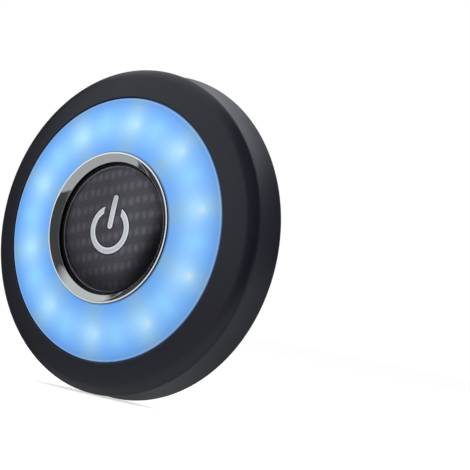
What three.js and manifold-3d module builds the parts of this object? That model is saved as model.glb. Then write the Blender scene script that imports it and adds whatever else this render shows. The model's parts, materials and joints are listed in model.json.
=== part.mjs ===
// A round lamp that a hand-sized steel disc holds to a wall by magnets: a black housing, a milky ring lit
// from behind by two sorts of LED, and a large push button with a standby symbol in a chromed ring.
// Lengths are in millimetres. The pieces are drawn with the lamp lying on its back, so that height is
// counted from the wall, and one turn of the whole group at the end stands the lamp up, facing -Y.

import * as THREE from 'three';
import { mergeVertices } from 'three/addons/utils/BufferGeometryUtils.js';
import Module from 'manifold-3d';

const wasm = await Module();
wasm.setup();

// Overall form of the housing
const backRimDiameter = 130;
const sideTaper = 0.5;
const bezelWidth = 12.3;
const shoulderDrop = 6.8;
const shoulderRound = 2.6;
const sideHollow = 0.25;
const wallThickness = 2.2;
const bezelEdgeThickness = 1.4;
const backRimWidth = 1.3;
const backRimRound = 0.4;

// Clearances
const seatGap = 0.3;
const coverSeam = 0.45;
const recessGap = 0.6;
const buttonGap = 1.05;
const screwGap = 0.35;
const cutOverrun = 1;

// Mounting disc at the back
const padDiameter = 72.2;
const padThickness = 1;
const plateThickness = 1.2;
const plateInset = 0.2;
const rimStandOff = 1.1;
const coverInset = 0.3;

// Rear cover
const coverThickness = 2;
const recessFloorThickness = 1.6;
const coverEdgeRound = 0.4;
const clampPostDiameter = 4.4;
const clampPostShare = 0.7;
const clampPostCount = 6;

// Rear screws, their wells and the bosses that take them
const rearScrewCount = 4;
const wellEdgeMargin = 1.35;
const rearScrewHeadDiameter = 4.9;
const rearScrewHeadHeight = 1.7;
const rearScrewShankDiameter = 2.5;
const rearScrewLength = 8;
const screwTipLength = 1;
const wellDiameter = 7.4;
const wellWall = 1.2;
const wellFloorThickness = 1.4;
const screwHeadDepth = 2.1;
const bossWall = 2.1;
const bossSideGap = 0.6;
const bossReachIntoBezel = 0.4;
const crossSlotWidth = 0.7;
const crossSlotLength = 2.7;
const crossSlotDepth = 0.8;

// Key tab that sets the rear cover's turn
const keyWidth = 2.4;
const keyDepth = 1.6;

// Magnets
const magnetDiameter = 9;
const magnetThickness = 3;
const magnetHalfSpacing = 14.8;
const magnetSideGap = 1.85;
const magnetCollarWall = 0.9;
const magnetCollarHeight = 2.6;

// Battery tray, cells and contacts
const cellDiameter = 10.5;
const cellLength = 44.5;
const cellNubDiameter = 3.8;
const cellNubHeight = 0.8;
const cellEdgeRound = 0.6;
const cellCount = 3;
const cellSideGap = 0.5;
const trayWall = 1.2;
const trayFloorThickness = 1.1;
const trayCornerRadius = 3.2;
const trayRimSetBack = 0.9;
const dividerHeight = 3;
const dividerThickness = 1;
const springRoom = 2.4;
const springWireDiameter = 0.5;
const springWideDiameter = 7;
const springNarrowDiameter = 4.4;
const tabSide = 6.6;
const tabThickness = 0.5;

// Inner frame
const frameWall = 1.2;
const deckThickness = 1.2;
const deckOpeningDiameter = 28;
const troughFloorDrop = 2.2;
const troughReachPastBezel = 0.5;

// Light ring
const ledCircleShare = 0.5215;
const ledPairCount = 10;
const ledBoardThickness = 1.2;
const colourLedSide = 5;
const colourLedHeight = 1.5;
const colourLedDishDiameter = 4;
const whiteLedSide = 3.5;
const whiteLedHeight = 0.9;
const whiteLedDishDiameter = 2.6;
const ledDishDepth = 0.35;
const boardScrewCount = 4;
const boardScrewInset = 4.7;
const boardScrewHeadDiameter = 3.6;
const boardScrewHeadHeight = 1.3;
const boardScrewShankDiameter = 1.8;
const boardScrewLength = 4.5;
const boardBossDiameter = 4.6;

// Diffuser
const diffuserRise = 3.8;
const diffuserBulge = 0.25;
const diffuserThickness = 1.8;
const diffuserEdgeRound = 0.35;
const diffuserFlangeWidth = 1.9;
const diffuserFlangeThickness = 1.1;
const diffuserCollarWall = 1.5;

// Chromed ring
const chromeDiameter = 59.2;
const chromeProud = 0.7;
const chromeFaceWidth = 3.45;
const chromeBrimWidth = 1.4;
const chromeCrownWidth = 0.8;
const chromeCrownRound = 0.25;
const chromeBevelDrop = 1.75;
const chromeLipThickness = 0.5;
const chromeSkirtWall = 0.7;

// Button
const buttonTravel = 0.9;
const buttonEdgeRise = 0.9;
const buttonDomeHeight = 1.75;
const insertThickness = 1;
const insertEdgeRound = 0.7;
const capThickness = 1.3;
const capEdgeStep = 0.3;
const capFlangeWidth = 1.95;
const capFlangeThickness = 1.2;
const capSkirtWall = 1.5;
const pegDiameter = 2.8;
const pegLength = 5;
const pegHalfSpacing = 9.56;
const pegSideGap = 0.9;

// Standby symbol
const symbolRingDiameter = 19.2;
const symbolStroke = 2.4;
const symbolGap = 8.6;
const symbolBarTop = 13.45;
const symbolBarBottom = -0.6;
const symbolBarWidth = 2.4;

// Switch and its board
const controlBoardThickness = 1;
const switchSide = 6.4;
const switchHeight = 1.9;
const switchFloorThickness = 0.4;
const plungerDiameter = 3.2;
const plungerEndGap = 0.15;

// Angles, in degrees, counted from the +X side towards the top
const degree = Math.PI / 180;
const quarterTurn = 90 * degree;
const fullTurn = 360 * degree;
const topAngle = quarterTurn;
const firstRearScrewAngle = 45 * degree;
const keyAngle = firstRearScrewAngle + 2 * quarterTurn + 23.4 * degree;

// Faces round each turned piece, and steps along its curves
const largeRingFaces = 52;
const middleRingFaces = 36;
const smallRoundFaces = 12;
const screwFaces = 10;
const dishFaces = 8;
const roundSteps = 3;
const crownSteps = 2;
const chamferSteps = 1;
const sideSteps = 3;
const domeSteps = 4;
const ringSymbolSteps = 16;
const barSymbolSteps = 4;
const springTurns = 1.5;
const springStepsPerTurn = 8;
const springSides = 6;

// Heights above the wall
const plateBack = padThickness + seatGap;
const recessFloorBack = plateBack + plateThickness + seatGap;
const recessFloorFront = recessFloorBack + recessFloorThickness;
const rimBack = rimStandOff;
const coverBack = rimBack + coverInset;
const coverFront = coverBack + coverThickness;
const wellSeat = coverBack + screwHeadDepth + rearScrewHeadHeight + seatGap;
const cellAxis = recessFloorFront + seatGap + cellDiameter / 2;
const trayFloorBack = cellAxis + cellDiameter / 2 + seatGap;
const trayFloorFront = trayFloorBack + trayFloorThickness;
const deckBack = trayFloorFront + seatGap;
const deckFront = deckBack + deckThickness;
const troughBack = deckBack - troughFloorDrop;
const troughFloor = troughBack + frameWall;
const ledBoardBack = troughFloor + seatGap;
const ledBoardFront = ledBoardBack + ledBoardThickness;
const controlBoardFront = trayFloorFront + seatGap + controlBoardThickness;
const switchBack = controlBoardFront + seatGap;
const switchFront = switchBack + switchHeight;
const capRimBottom = deckFront + buttonTravel + seatGap + seatGap;
const capFlangeTop = capRimBottom + capFlangeThickness;
const capEdgeTop = capFlangeTop + capEdgeStep;
const capTop = capEdgeTop + buttonDomeHeight;
const capUnderside = capTop - capThickness;
const buttonEdgeTop = capEdgeTop + seatGap + insertThickness;
const buttonTop = buttonEdgeTop + buttonDomeHeight;
const bezelEdge = buttonEdgeTop - buttonEdgeRise;
const rabbetHeight = bezelEdge - bezelEdgeThickness;
const diffuserInnerTop = bezelEdge + diffuserRise;
const diffuserFlangeTop = rabbetHeight - seatGap;
const diffuserFlangeBottom = diffuserFlangeTop - diffuserFlangeThickness;
const chromeTop = diffuserInnerTop + chromeProud;
const chromeLipTop = chromeTop - chromeBevelDrop;

// Radii, from the rim inwards
const backRimRadius = backRimDiameter / 2;
const frontRimRadius = backRimRadius - sideTaper;
const bezelInnerRadius = frontRimRadius - bezelWidth;
const rimInnerRadius = backRimRadius - backRimWidth;
const wallInnerRadius = backRimRadius - wallThickness;
const coverRadius = rimInnerRadius - coverSeam;
const wellRadius = wellDiameter / 2;
const wellOuterRadius = wellRadius + wellWall;
const rearScrewHoleRadius = rearScrewShankDiameter / 2 + screwGap;
const bossRadius = rearScrewHoleRadius + bossWall;
const rearScrewCircleRadius = coverRadius - wellOuterRadius - wellEdgeMargin;
const troughOuterRadius = Math.min(
  bezelInnerRadius + troughReachPastBezel,
  rearScrewCircleRadius - bossRadius - bossSideGap,
);

// Radii, from the button outwards
const chromeRadius = chromeDiameter / 2;
const chromeSkirtRadius = chromeRadius - chromeBrimWidth;
const chromeSkirtInner = chromeSkirtRadius - chromeSkirtWall;
const chromeLipRadius = chromeRadius - chromeFaceWidth;
const buttonRadius = chromeLipRadius - buttonGap;
const capFlangeRadius = buttonRadius + capFlangeWidth;

// The tray, and what stands round it
const cellSpacing = cellDiameter + cellSideGap;
const contactRoom = springRoom + tabThickness + 4 * seatGap;
const trayHalfLength = (cellLength + contactRoom) / 2;
const trayHalfWidth = (cellSpacing * (cellCount - 1) + cellDiameter) / 2 + seatGap;
const trayOuterHalfLength = trayHalfLength + trayWall;
const trayOuterHalfWidth = trayHalfWidth + trayWall;
const trayCornerX = trayOuterHalfLength - trayCornerRadius;
const trayCornerY = trayOuterHalfWidth - trayCornerRadius;
const trayReach = Math.hypot(trayCornerX, trayCornerY) + trayCornerRadius;
const frameHubRadius = Math.max(chromeRadius, trayReach) + seatGap;
const collarRadius = magnetDiameter / 2 + seatGap;
const collarOuterRadius = collarRadius + magnetCollarWall;
const magnetStandOff = trayOuterHalfWidth + collarOuterRadius + magnetSideGap;
const pegStandOff = trayOuterHalfWidth + pegDiameter / 2 + pegSideGap;
const troughWidth = troughOuterRadius - frameHubRadius;
const ledCircleRadius = frameHubRadius + ledCircleShare * troughWidth;
const clampPostCircleRadius = frameHubRadius + clampPostShare * troughWidth;
const boardScrewCircleRadius = troughOuterRadius - boardScrewInset;
const recessRadius = padDiameter / 2 + recessGap;
const magnetReach = Math.hypot(magnetHalfSpacing, magnetStandOff) + collarOuterRadius;
const raisedFloorRadius = Math.max(recessRadius, magnetReach) + recessFloorThickness;

// Finishes
const softBlack = { color: 0x24262a, roughness: 0.55, metalness: 0 };
const satinGrey = { color: 0x484b4f, roughness: 0.6, metalness: 0 };
const padViolet = { color: 0x656469, roughness: 0.75, metalness: 0 };
const zincSteel = { color: 0xa9acb0, roughness: 0.35, metalness: 1 };
const nickel = { color: 0xd8d2c4, roughness: 0.22, metalness: 1 };
const chromed = { color: 0xdfe1e4, roughness: 0.06, metalness: 1 };
const litMilk = { color: 0x86bdf7, roughness: 0.4, metalness: 0 };
const carbonLook = { color: 0x303035, roughness: 0.35, metalness: 0 };
const silverPaint = { color: 0xb9bdc2, roughness: 0.35, metalness: 0.4 };
const capBlack = { color: 0x17181a, roughness: 0.5, metalness: 0 };
const whitePlastic = { color: 0xe9eaec, roughness: 0.5, metalness: 0 };
const boardWhite = { color: 0xdfe3e2, roughness: 0.45, metalness: 0 };
const boardGreen = { color: 0x1f5c3a, roughness: 0.45, metalness: 0 };
const ledWhite = { color: 0xf0ecd6, roughness: 0.35, metalness: 0 };
const ledYellow = { color: 0xe8d36a, roughness: 0.4, metalness: 0 };
const cellSleeve = { color: 0x3b5d7a, roughness: 0.35, metalness: 0.2 };
const springSteel = { color: 0xb8bbc0, roughness: 0.3, metalness: 1 };
const magnetNickel = { color: 0xb7b9bb, roughness: 0.25, metalness: 1 };

const lamp = new THREE.Group();

// Adds a named piece to the lamp
function addPiece(name, geometry, finish) {
  const piece = new THREE.Mesh(geometry, new THREE.MeshStandardMaterial(finish));
  piece.name = name;
  lamp.add(piece);
}

// Makes a solid that can be cut or joined from a closed surface
function toSolid(geometry) {
  const bare = geometry.clone();
  bare.deleteAttribute('normal');
  bare.deleteAttribute('uv');
  const merged = mergeVertices(bare);
  return new wasm.Manifold(new wasm.Mesh({
    numProp: 3,
    vertProperties: new Float32Array(merged.attributes.position.array),
    triVerts: new Uint32Array(merged.index.array),
  }));
}

// Turns a solid back into a surface
function toGeometry(solid) {
  const mesh = solid.getMesh();
  const geometry = new THREE.BufferGeometry();
  geometry.setAttribute('position', new THREE.BufferAttribute(mesh.vertProperties, 3));
  geometry.setIndex(new THREE.BufferAttribute(mesh.triVerts, 1));
  geometry.computeVertexNormals();
  return geometry;
}

// Cuts a list of surfaces out of a surface, after a list of others is joined to it
function shape(base, joined, cut) {
  let solid = toSolid(base);
  for (const geometry of joined) {
    solid = solid.add(toSolid(geometry));
  }
  for (const geometry of cut) {
    solid = solid.subtract(toSolid(geometry));
  }
  return toGeometry(solid);
}

// Revolves an outline of [radius, height] points about the lamp's axis. The outline runs up its outer
// side, and closes on itself unless it starts and ends on the axis.
function revolve(outline, faces) {
  const points = outline.map(([radius, height]) => new THREE.Vector2(radius, height));
  const onAxis = points[0].x === 0 && points[points.length - 1].x === 0;
  if (!onAxis) {
    points.push(points[0].clone());
  }
  const geometry = new THREE.LatheGeometry(points, faces);
  geometry.rotateX(quarterTurn);
  return geometry;
}

// A round bar or disc between two heights
function disc(radius, bottom, top, faces) {
  return revolve([[0, bottom], [radius, bottom], [radius, top], [0, top]], faces);
}

// A box with its middle at x and y, between two heights
function block(lengthX, lengthY, bottom, top, x = 0, y = 0) {
  const geometry = new THREE.BoxGeometry(lengthX, lengthY, top - bottom);
  geometry.translate(x, y, (bottom + top) / 2);
  return geometry;
}

// Points of an arc in an outline, both ends included
function arc(centreRadius, centreHeight, radius, startAngle, endAngle, steps) {
  const points = [];
  for (let step = 0; step <= steps; step += 1) {
    const angle = startAngle + (endAngle - startAngle) * step / steps;
    points.push([centreRadius + radius * Math.cos(angle), centreHeight + radius * Math.sin(angle)]);
  }
  return points;
}

// Points along a bowed line, both ends included. The bow stands off to the left of the way it runs.
function bow(start, end, height, steps) {
  const length = Math.hypot(end[0] - start[0], end[1] - start[1]);
  const leftX = (start[1] - end[1]) / length;
  const leftY = (end[0] - start[0]) / length;
  const points = [];
  for (let step = 0; step <= steps; step += 1) {
    const share = step / steps;
    const offset = height * Math.sin(Math.PI * share);
    points.push([
      start[0] + (end[0] - start[0]) * share + leftX * offset,
      start[1] + (end[1] - start[1]) * share + leftY * offset,
    ]);
  }
  return points;
}

// Height of a dome of a given edge height and rise at a distance from the axis
function domeHeight(edgeHeight, rise, edgeRadius, radius) {
  const sphere = (edgeRadius * edgeRadius + rise * rise) / (2 * rise);
  return edgeHeight + rise - sphere + Math.sqrt(sphere * sphere - radius * radius);
}

// Points of a dome's outline from one radius in to another
function dome(edgeHeight, rise, edgeRadius, fromRadius, toRadius) {
  const points = [];
  for (let step = 0; step <= domeSteps; step += 1) {
    const radius = fromRadius + (toRadius - fromRadius) * step / domeSteps;
    points.push([radius, domeHeight(edgeHeight, rise, edgeRadius, radius)]);
  }
  return points;
}

// Places of a number of copies round the lamp's axis
function around(count, radius, startAngle) {
  const places = [];
  for (let index = 0; index < count; index += 1) {
    const angle = startAngle + fullTurn * index / count;
    places.push({ angle, x: radius * Math.cos(angle), y: radius * Math.sin(angle) });
  }
  return places;
}

// Places of four copies, two above the tray and two below it
function inPairs(halfSpacing, standOff) {
  return [
    { x: halfSpacing, y: standOff },
    { x: -halfSpacing, y: standOff },
    { x: -halfSpacing, y: -standOff },
    { x: halfSpacing, y: -standOff },
  ];
}

// Copies of a body, one at each place
function copies(places, makeOne) {
  return places.map((place) => makeOne().translate(place.x, place.y, 0));
}

const rearScrewPlaces = around(rearScrewCount, rearScrewCircleRadius, firstRearScrewAngle);
const magnetPlaces = inPairs(magnetHalfSpacing, magnetStandOff);
const pegPlaces = inPairs(pegHalfSpacing, pegStandOff);
const ledStep = fullTurn / ledPairCount / 2;
const colourLedPlaces = around(ledPairCount, ledCircleRadius, topAngle);
const whiteLedPlaces = around(ledPairCount, ledCircleRadius, topAngle - ledStep);
const boardScrewPlaces = around(boardScrewCount, boardScrewCircleRadius, topAngle - ledStep / 2);
const clampPostPlaces = around(clampPostCount, clampPostCircleRadius, 0);

// Height of the bezel's face at a radius, on the straight run from its inner edge to the shoulder
function bezelTangent() {
  const centre = [frontRimRadius - shoulderRound, bezelEdge - shoulderDrop];
  const toCentre = Math.atan2(centre[1] - bezelEdge, centre[0] - bezelInnerRadius);
  const distance = Math.hypot(centre[0] - bezelInnerRadius, centre[1] - bezelEdge);
  const slope = toCentre + Math.asin(shoulderRound / distance);
  return { centre, slope };
}

function bezelHeight(radius) {
  return bezelEdge + (radius - bezelInnerRadius) * Math.tan(bezelTangent().slope);
}

// Bar along the key's direction, from one radius to another
function keyBar(fromRadius, toRadius, width, bottom, top) {
  const bar = block(toRadius - fromRadius, width, bottom, top, (fromRadius + toRadius) / 2);
  return bar.rotateZ(keyAngle);
}

function makeHousing() {
  const { centre, slope } = bezelTangent();
  const ledge = coverFront + seatGap;
  const rabbetRadius = bezelInnerRadius + diffuserFlangeWidth + seatGap;
  const innerTopRadius = frontRimRadius - wallThickness;
  const underside = (radius) => bezelHeight(radius) - wallThickness;
  const sideFoot = [backRimRadius, rimBack + backRimRound];
  const side = bow(sideFoot, [frontRimRadius, centre[1]], sideHollow, sideSteps);
  const shell = revolve([
    [rimInnerRadius, rimBack],
    ...arc(backRimRadius - backRimRound, rimBack + backRimRound, backRimRound, -quarterTurn, 0, chamferSteps),
    ...side.slice(1, -1),
    ...arc(centre[0], centre[1], shoulderRound, 0, quarterTurn + slope, roundSteps),
    [bezelInnerRadius + diffuserEdgeRound, bezelHeight(bezelInnerRadius + diffuserEdgeRound)],
    [bezelInnerRadius, bezelEdge - diffuserEdgeRound],
    [bezelInnerRadius, rabbetHeight],
    [rabbetRadius, rabbetHeight],
    [rabbetRadius, underside(rabbetRadius)],
    [innerTopRadius - wallThickness, underside(innerTopRadius - wallThickness)],
    [innerTopRadius, underside(innerTopRadius) - wallThickness],
    [wallInnerRadius, ledge],
    [rimInnerRadius, ledge],
  ], largeRingFaces);
  const bossBottom = wellSeat + wellFloorThickness + seatGap;
  const bossTop = underside(rearScrewCircleRadius) + bossReachIntoBezel;
  const holeTop = wellSeat + rearScrewLength + cutOverrun;
  const bosses = copies(rearScrewPlaces, () => disc(bossRadius, bossBottom, bossTop, smallRoundFaces));
  const holeBottom = bossBottom - cutOverrun;
  const holes = copies(rearScrewPlaces, () => disc(rearScrewHoleRadius, holeBottom, holeTop, screwFaces));
  const keyInner = coverRadius - keyDepth;
  const key = keyBar(keyInner, rimInnerRadius + backRimWidth / 2, keyWidth, coverBack, ledge + seatGap);
  const keyWeb = keyBar(keyInner, wallInnerRadius + seatGap, keyWidth, ledge, ledge + keyDepth);
  addPiece('housing', shape(shell, [...bosses, key, keyWeb], holes), softBlack);
}

function makeRearCover() {
  const edgeMiddle = [coverRadius - coverEdgeRound, coverBack + coverEdgeRound];
  const plate = revolve([
    [0, recessFloorBack],
    [recessRadius, recessFloorBack],
    [recessRadius, coverBack],
    ...arc(edgeMiddle[0], edgeMiddle[1], coverEdgeRound, -quarterTurn, 0, chamferSteps),
    [coverRadius, coverFront],
    [raisedFloorRadius, coverFront],
    [raisedFloorRadius, recessFloorFront],
    [0, recessFloorFront],
  ], largeRingFaces);
  const wellFront = wellSeat + wellFloorThickness;
  const wells = copies(rearScrewPlaces, () => disc(wellOuterRadius, coverBack, wellFront, smallRoundFaces));
  const collarFront = recessFloorFront + magnetCollarHeight;
  const collarBack = recessFloorBack + recessFloorThickness / 2;
  const collars = copies(magnetPlaces, () => revolve([
    [collarRadius, collarBack],
    [collarOuterRadius, collarBack],
    [collarOuterRadius, collarFront],
    [collarRadius, collarFront],
  ], smallRoundFaces));
  const postBack = (recessFloorBack + coverFront) / 2;
  const postFront = troughBack - seatGap;
  const posts = copies(clampPostPlaces, () => disc(clampPostDiameter / 2, postBack, postFront, screwFaces));
  const boreBack = coverBack - cutOverrun;
  const holeFront = wellFront + cutOverrun;
  const bores = copies(rearScrewPlaces, () => disc(wellRadius, boreBack, wellSeat, smallRoundFaces));
  const holes = copies(rearScrewPlaces, () => disc(rearScrewHoleRadius, coverBack, holeFront, screwFaces));
  const notchWidth = keyWidth + seatGap + seatGap;
  const notchInner = coverRadius - keyDepth - seatGap;
  const notch = keyBar(notchInner, backRimRadius, notchWidth, boreBack, coverFront + cutOverrun);
  const joined = [...wells, ...collars, ...posts];
  addPiece('rear_cover', shape(plate, joined, [...bores, ...holes, notch]), satinGrey);
}

function makeMountingDisc() {
  const plateRadius = padDiameter / 2 - plateInset;
  const plateFront = plateBack + plateThickness;
  addPiece('adhesive_pad', disc(padDiameter / 2, 0, padThickness, middleRingFaces), padViolet);
  addPiece('steel_mounting_plate', disc(plateRadius, plateBack, plateFront, middleRingFaces), zincSteel);
}

// A pan-head screw with a cross slot, its head's top at zero height and its shank pointing up
function screw(headDiameter, headHeight, shankDiameter, length, faces, slotted) {
  const headRadius = headDiameter / 2;
  const shankRadius = shankDiameter / 2;
  const body = revolve([
    [0, 0],
    [headRadius / 2, 0],
    [headRadius * Math.cos(quarterTurn / 4), headHeight / 4],
    [headRadius, headHeight / 2],
    [headRadius, headHeight],
    [shankRadius, headHeight],
    [shankRadius, headHeight + length - screwTipLength],
    [0, headHeight + length],
  ], faces);
  if (!slotted) {
    return body;
  }
  const slots = [
    block(crossSlotLength, crossSlotWidth, -cutOverrun, crossSlotDepth),
    block(crossSlotWidth, crossSlotLength, -cutOverrun, crossSlotDepth),
  ];
  return shape(body, [], slots);
}

function makeRearScrews() {
  rearScrewPlaces.forEach((place, index) => {
    const piece = screw(
      rearScrewHeadDiameter, rearScrewHeadHeight, rearScrewShankDiameter, rearScrewLength, screwFaces, true,
    );
    piece.rotateZ(place.angle);
    piece.translate(place.x, place.y, coverBack + screwHeadDepth);
    addPiece(`rear_screw_${index + 1}`, piece, nickel);
  });
}

function makeMagnets() {
  const back = recessFloorFront + seatGap;
  magnetPlaces.forEach((place, index) => {
    const magnet = disc(magnetDiameter / 2, back, back + magnetThickness, smallRoundFaces);
    addPiece(`magnet_${index + 1}`, magnet.translate(place.x, place.y, 0), magnetNickel);
  });
}

// A flat block with round corners, between two heights
function roundedBlock(halfLength, halfWidth, corner, bottom, top) {
  const outline = new THREE.Shape();
  outline.moveTo(-halfLength + corner, -halfWidth);
  outline.lineTo(halfLength - corner, -halfWidth);
  outline.absarc(halfLength - corner, -halfWidth + corner, corner, -quarterTurn, 0);
  outline.lineTo(halfLength, halfWidth - corner);
  outline.absarc(halfLength - corner, halfWidth - corner, corner, 0, quarterTurn);
  outline.lineTo(-halfLength + corner, halfWidth);
  outline.absarc(-halfLength + corner, halfWidth - corner, corner, quarterTurn, 2 * quarterTurn);
  outline.lineTo(-halfLength, -halfWidth + corner);
  outline.absarc(-halfLength + corner, -halfWidth + corner, corner, 2 * quarterTurn, 3 * quarterTurn);
  const geometry = new THREE.ExtrudeGeometry(outline, {
    depth: top - bottom,
    bevelEnabled: false,
    curveSegments: roundSteps,
  });
  geometry.translate(0, 0, bottom);
  return geometry;
}

function makeBatteryTray() {
  const rim = recessFloorFront + trayRimSetBack;
  const outside = roundedBlock(
    trayOuterHalfLength, trayOuterHalfWidth, trayCornerRadius, rim, trayFloorFront,
  );
  const inside = roundedBlock(
    trayHalfLength, trayHalfWidth, trayCornerRadius - trayWall, rim - cutOverrun, trayFloorBack,
  );
  const dividers = [];
  for (let index = 1; index < cellCount; index += 1) {
    const y = (index - cellCount / 2) * cellSpacing;
    const dividerFront = trayFloorBack + trayFloorThickness / 2;
    const dividerBack = trayFloorBack - dividerHeight;
    dividers.push(block(cellLength, dividerThickness, dividerBack, dividerFront, 0, y));
  }
  const shell = toSolid(outside).subtract(toSolid(inside));
  const whole = dividers.reduce((solid, divider) => solid.add(toSolid(divider)), shell);
  addPiece('battery_holder', toGeometry(whole), capBlack);
}

// One cell lying along X, its raised end at +X
function cellBody() {
  const radius = cellDiameter / 2;
  const shoulder = cellLength - cellNubHeight;
  const body = revolve([
    [0, 0],
    [radius - cellEdgeRound, 0],
    [radius, cellEdgeRound],
    [radius, shoulder - cellEdgeRound],
    [radius - cellEdgeRound, shoulder],
    [cellNubDiameter / 2, shoulder],
    [cellNubDiameter / 2, cellLength],
    [0, cellLength],
  ], smallRoundFaces);
  return body.rotateY(quarterTurn);
}

// Path of a conical spring that winds along X
class SpringPath extends THREE.Curve {
  getPoint(share) {
    const angle = springTurns * fullTurn * share;
    const diameter = springWideDiameter + (springNarrowDiameter - springWideDiameter) * share;
    const run = springRoom - springWireDiameter;
    return new THREE.Vector3(run * share, diameter / 2 * Math.cos(angle), diameter / 2 * Math.sin(angle));
  }
}

function springBody() {
  const section = new THREE.Shape();
  section.absarc(0, 0, springWireDiameter / 2, 0, fullTurn);
  return new THREE.ExtrudeGeometry(section, {
    extrudePath: new SpringPath(),
    steps: springTurns * springStepsPerTurn,
    curveSegments: springSides / 2,
    bevelEnabled: false,
  });
}

// The cells lie head to tail, each between a spring at its flat end and a tab at its raised end
function makeCellsAndContacts() {
  const tabInner = trayHalfLength - seatGap - tabThickness;
  const raisedEnd = tabInner - seatGap;
  for (let index = 0; index < cellCount; index += 1) {
    const y = (index - (cellCount - 1) / 2) * cellSpacing;
    const reversed = index % 2 === 1;
    const cell = cellBody().translate(raisedEnd - cellLength, 0, 0);
    const tab = new THREE.BoxGeometry(tabThickness, tabSide, tabSide);
    tab.translate(tabInner + tabThickness / 2, 0, 0);
    const spring = springBody();
    spring.translate(-trayHalfLength + seatGap + springWireDiameter / 2, 0, 0);
    for (const geometry of [cell, tab, spring]) {
      if (reversed) {
        geometry.rotateZ(2 * quarterTurn);
      }
      geometry.translate(0, y, cellAxis);
    }
    addPiece(`battery_cell_${index + 1}`, cell, cellSleeve);
    addPiece(`contact_tab_${index + 1}`, tab, nickel);
    addPiece(`contact_spring_${index + 1}`, spring, springSteel);
  }
}

function makeInnerFrame() {
  const openingRadius = deckOpeningDiameter / 2;
  const outerTop = diffuserFlangeBottom - seatGap;
  const shell = revolve([
    [openingRadius, deckBack],
    [frameHubRadius, deckBack],
    [frameHubRadius, troughBack],
    [troughOuterRadius, troughBack],
    [troughOuterRadius, outerTop],
    [troughOuterRadius - frameWall, outerTop],
    [troughOuterRadius - frameWall, troughFloor],
    [frameHubRadius + frameWall, troughFloor],
    [frameHubRadius + frameWall, deckFront],
    [openingRadius, deckFront],
  ], middleRingFaces);
  const pegHoleRadius = pegDiameter / 2 + seatGap;
  const pegHoleBack = deckBack - cutOverrun;
  const pegHoleFront = deckFront + cutOverrun;
  const pegHoles = copies(pegPlaces, () => disc(pegHoleRadius, pegHoleBack, pegHoleFront, screwFaces));
  const bossBack = ledBoardFront - boardScrewLength;
  const bossFront = troughFloor - frameWall / 2;
  const bosses = copies(boardScrewPlaces, () => disc(boardBossDiameter / 2, bossBack, bossFront, screwFaces));
  const screwHoleRadius = boardScrewShankDiameter / 2 + screwGap;
  const screwHoleBack = bossBack - cutOverrun;
  const screwHole = () => disc(screwHoleRadius, screwHoleBack, ledBoardBack, dishFaces);
  const screwHoles = copies(boardScrewPlaces, screwHole);
  addPiece('inner_frame', shape(shell, bosses, [...pegHoles, ...screwHoles]), whitePlastic);
}

function makeLedBoard() {
  const innerRadius = frameHubRadius + frameWall + seatGap;
  const outerRadius = troughOuterRadius - frameWall - seatGap;
  const board = revolve([
    [innerRadius, ledBoardBack],
    [outerRadius, ledBoardBack],
    [outerRadius, ledBoardFront],
    [innerRadius, ledBoardFront],
  ], middleRingFaces);
  const holeBack = ledBoardBack - cutOverrun;
  const holeFront = ledBoardFront + cutOverrun;
  const holeRadius = boardScrewShankDiameter / 2 + screwGap;
  const holes = copies(boardScrewPlaces, () => disc(holeRadius, holeBack, holeFront, dishFaces));
  addPiece('led_board', shape(board, [], holes), boardWhite);
}

// One LED package, a block with a round dish that holds its phosphor
function ledBody(side, height, dishDiameter) {
  const back = ledBoardFront + seatGap;
  const front = back + height;
  const dish = disc(dishDiameter / 2, front - ledDishDepth, front + cutOverrun, dishFaces);
  return shape(block(side, side, back, front), [], [dish]);
}

function makeLeds() {
  const sorts = [
    {
      name: 'colour_led',
      places: colourLedPlaces,
      finish: ledWhite,
      body: () => ledBody(colourLedSide, colourLedHeight, colourLedDishDiameter),
    },
    {
      name: 'white_led',
      places: whiteLedPlaces,
      finish: ledYellow,
      body: () => ledBody(whiteLedSide, whiteLedHeight, whiteLedDishDiameter),
    },
  ];
  for (const sort of sorts) {
    sort.places.forEach((place, index) => {
      const number = String(index + 1).padStart(2, '0');
      const led = sort.body().rotateZ(place.angle).translate(place.x, place.y, 0);
      addPiece(`${sort.name}_${number}`, led, sort.finish);
    });
  }
}

function boardScrew() {
  return screw(
    boardScrewHeadDiameter, boardScrewHeadHeight, boardScrewShankDiameter, boardScrewLength,
    dishFaces, false,
  );
}

function makeBoardScrews() {
  boardScrewPlaces.forEach((place, index) => {
    const piece = boardScrew();
    piece.rotateX(2 * quarterTurn);
    piece.translate(place.x, place.y, ledBoardFront + seatGap + boardScrewHeadHeight);
    addPiece(`board_screw_${index + 1}`, piece, springSteel);
  });
}

function makeDiffuser() {
  const collarInner = chromeSkirtRadius + seatGap;
  const collarOuter = collarInner + diffuserCollarWall;
  const outerRadius = bezelInnerRadius - seatGap;
  const flangeRadius = bezelInnerRadius + diffuserFlangeWidth;
  const collarBottom = deckFront + seatGap;
  const faceFoot = [outerRadius - diffuserEdgeRound, bezelEdge];
  const face = bow(faceFoot, [collarInner, diffuserInnerTop], -diffuserBulge, domeSteps);
  const shell = revolve([
    [collarInner, collarBottom],
    [collarOuter, collarBottom],
    [collarOuter, diffuserInnerTop - diffuserThickness],
    [outerRadius - diffuserThickness, bezelEdge - diffuserThickness],
    [outerRadius - diffuserThickness, diffuserFlangeBottom],
    [flangeRadius, diffuserFlangeBottom],
    [flangeRadius, diffuserFlangeTop],
    [outerRadius, diffuserFlangeTop],
    [outerRadius, bezelEdge - diffuserEdgeRound],
    ...face,
  ], largeRingFaces);
  addPiece('diffuser_ring', shell, litMilk);
}

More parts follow.
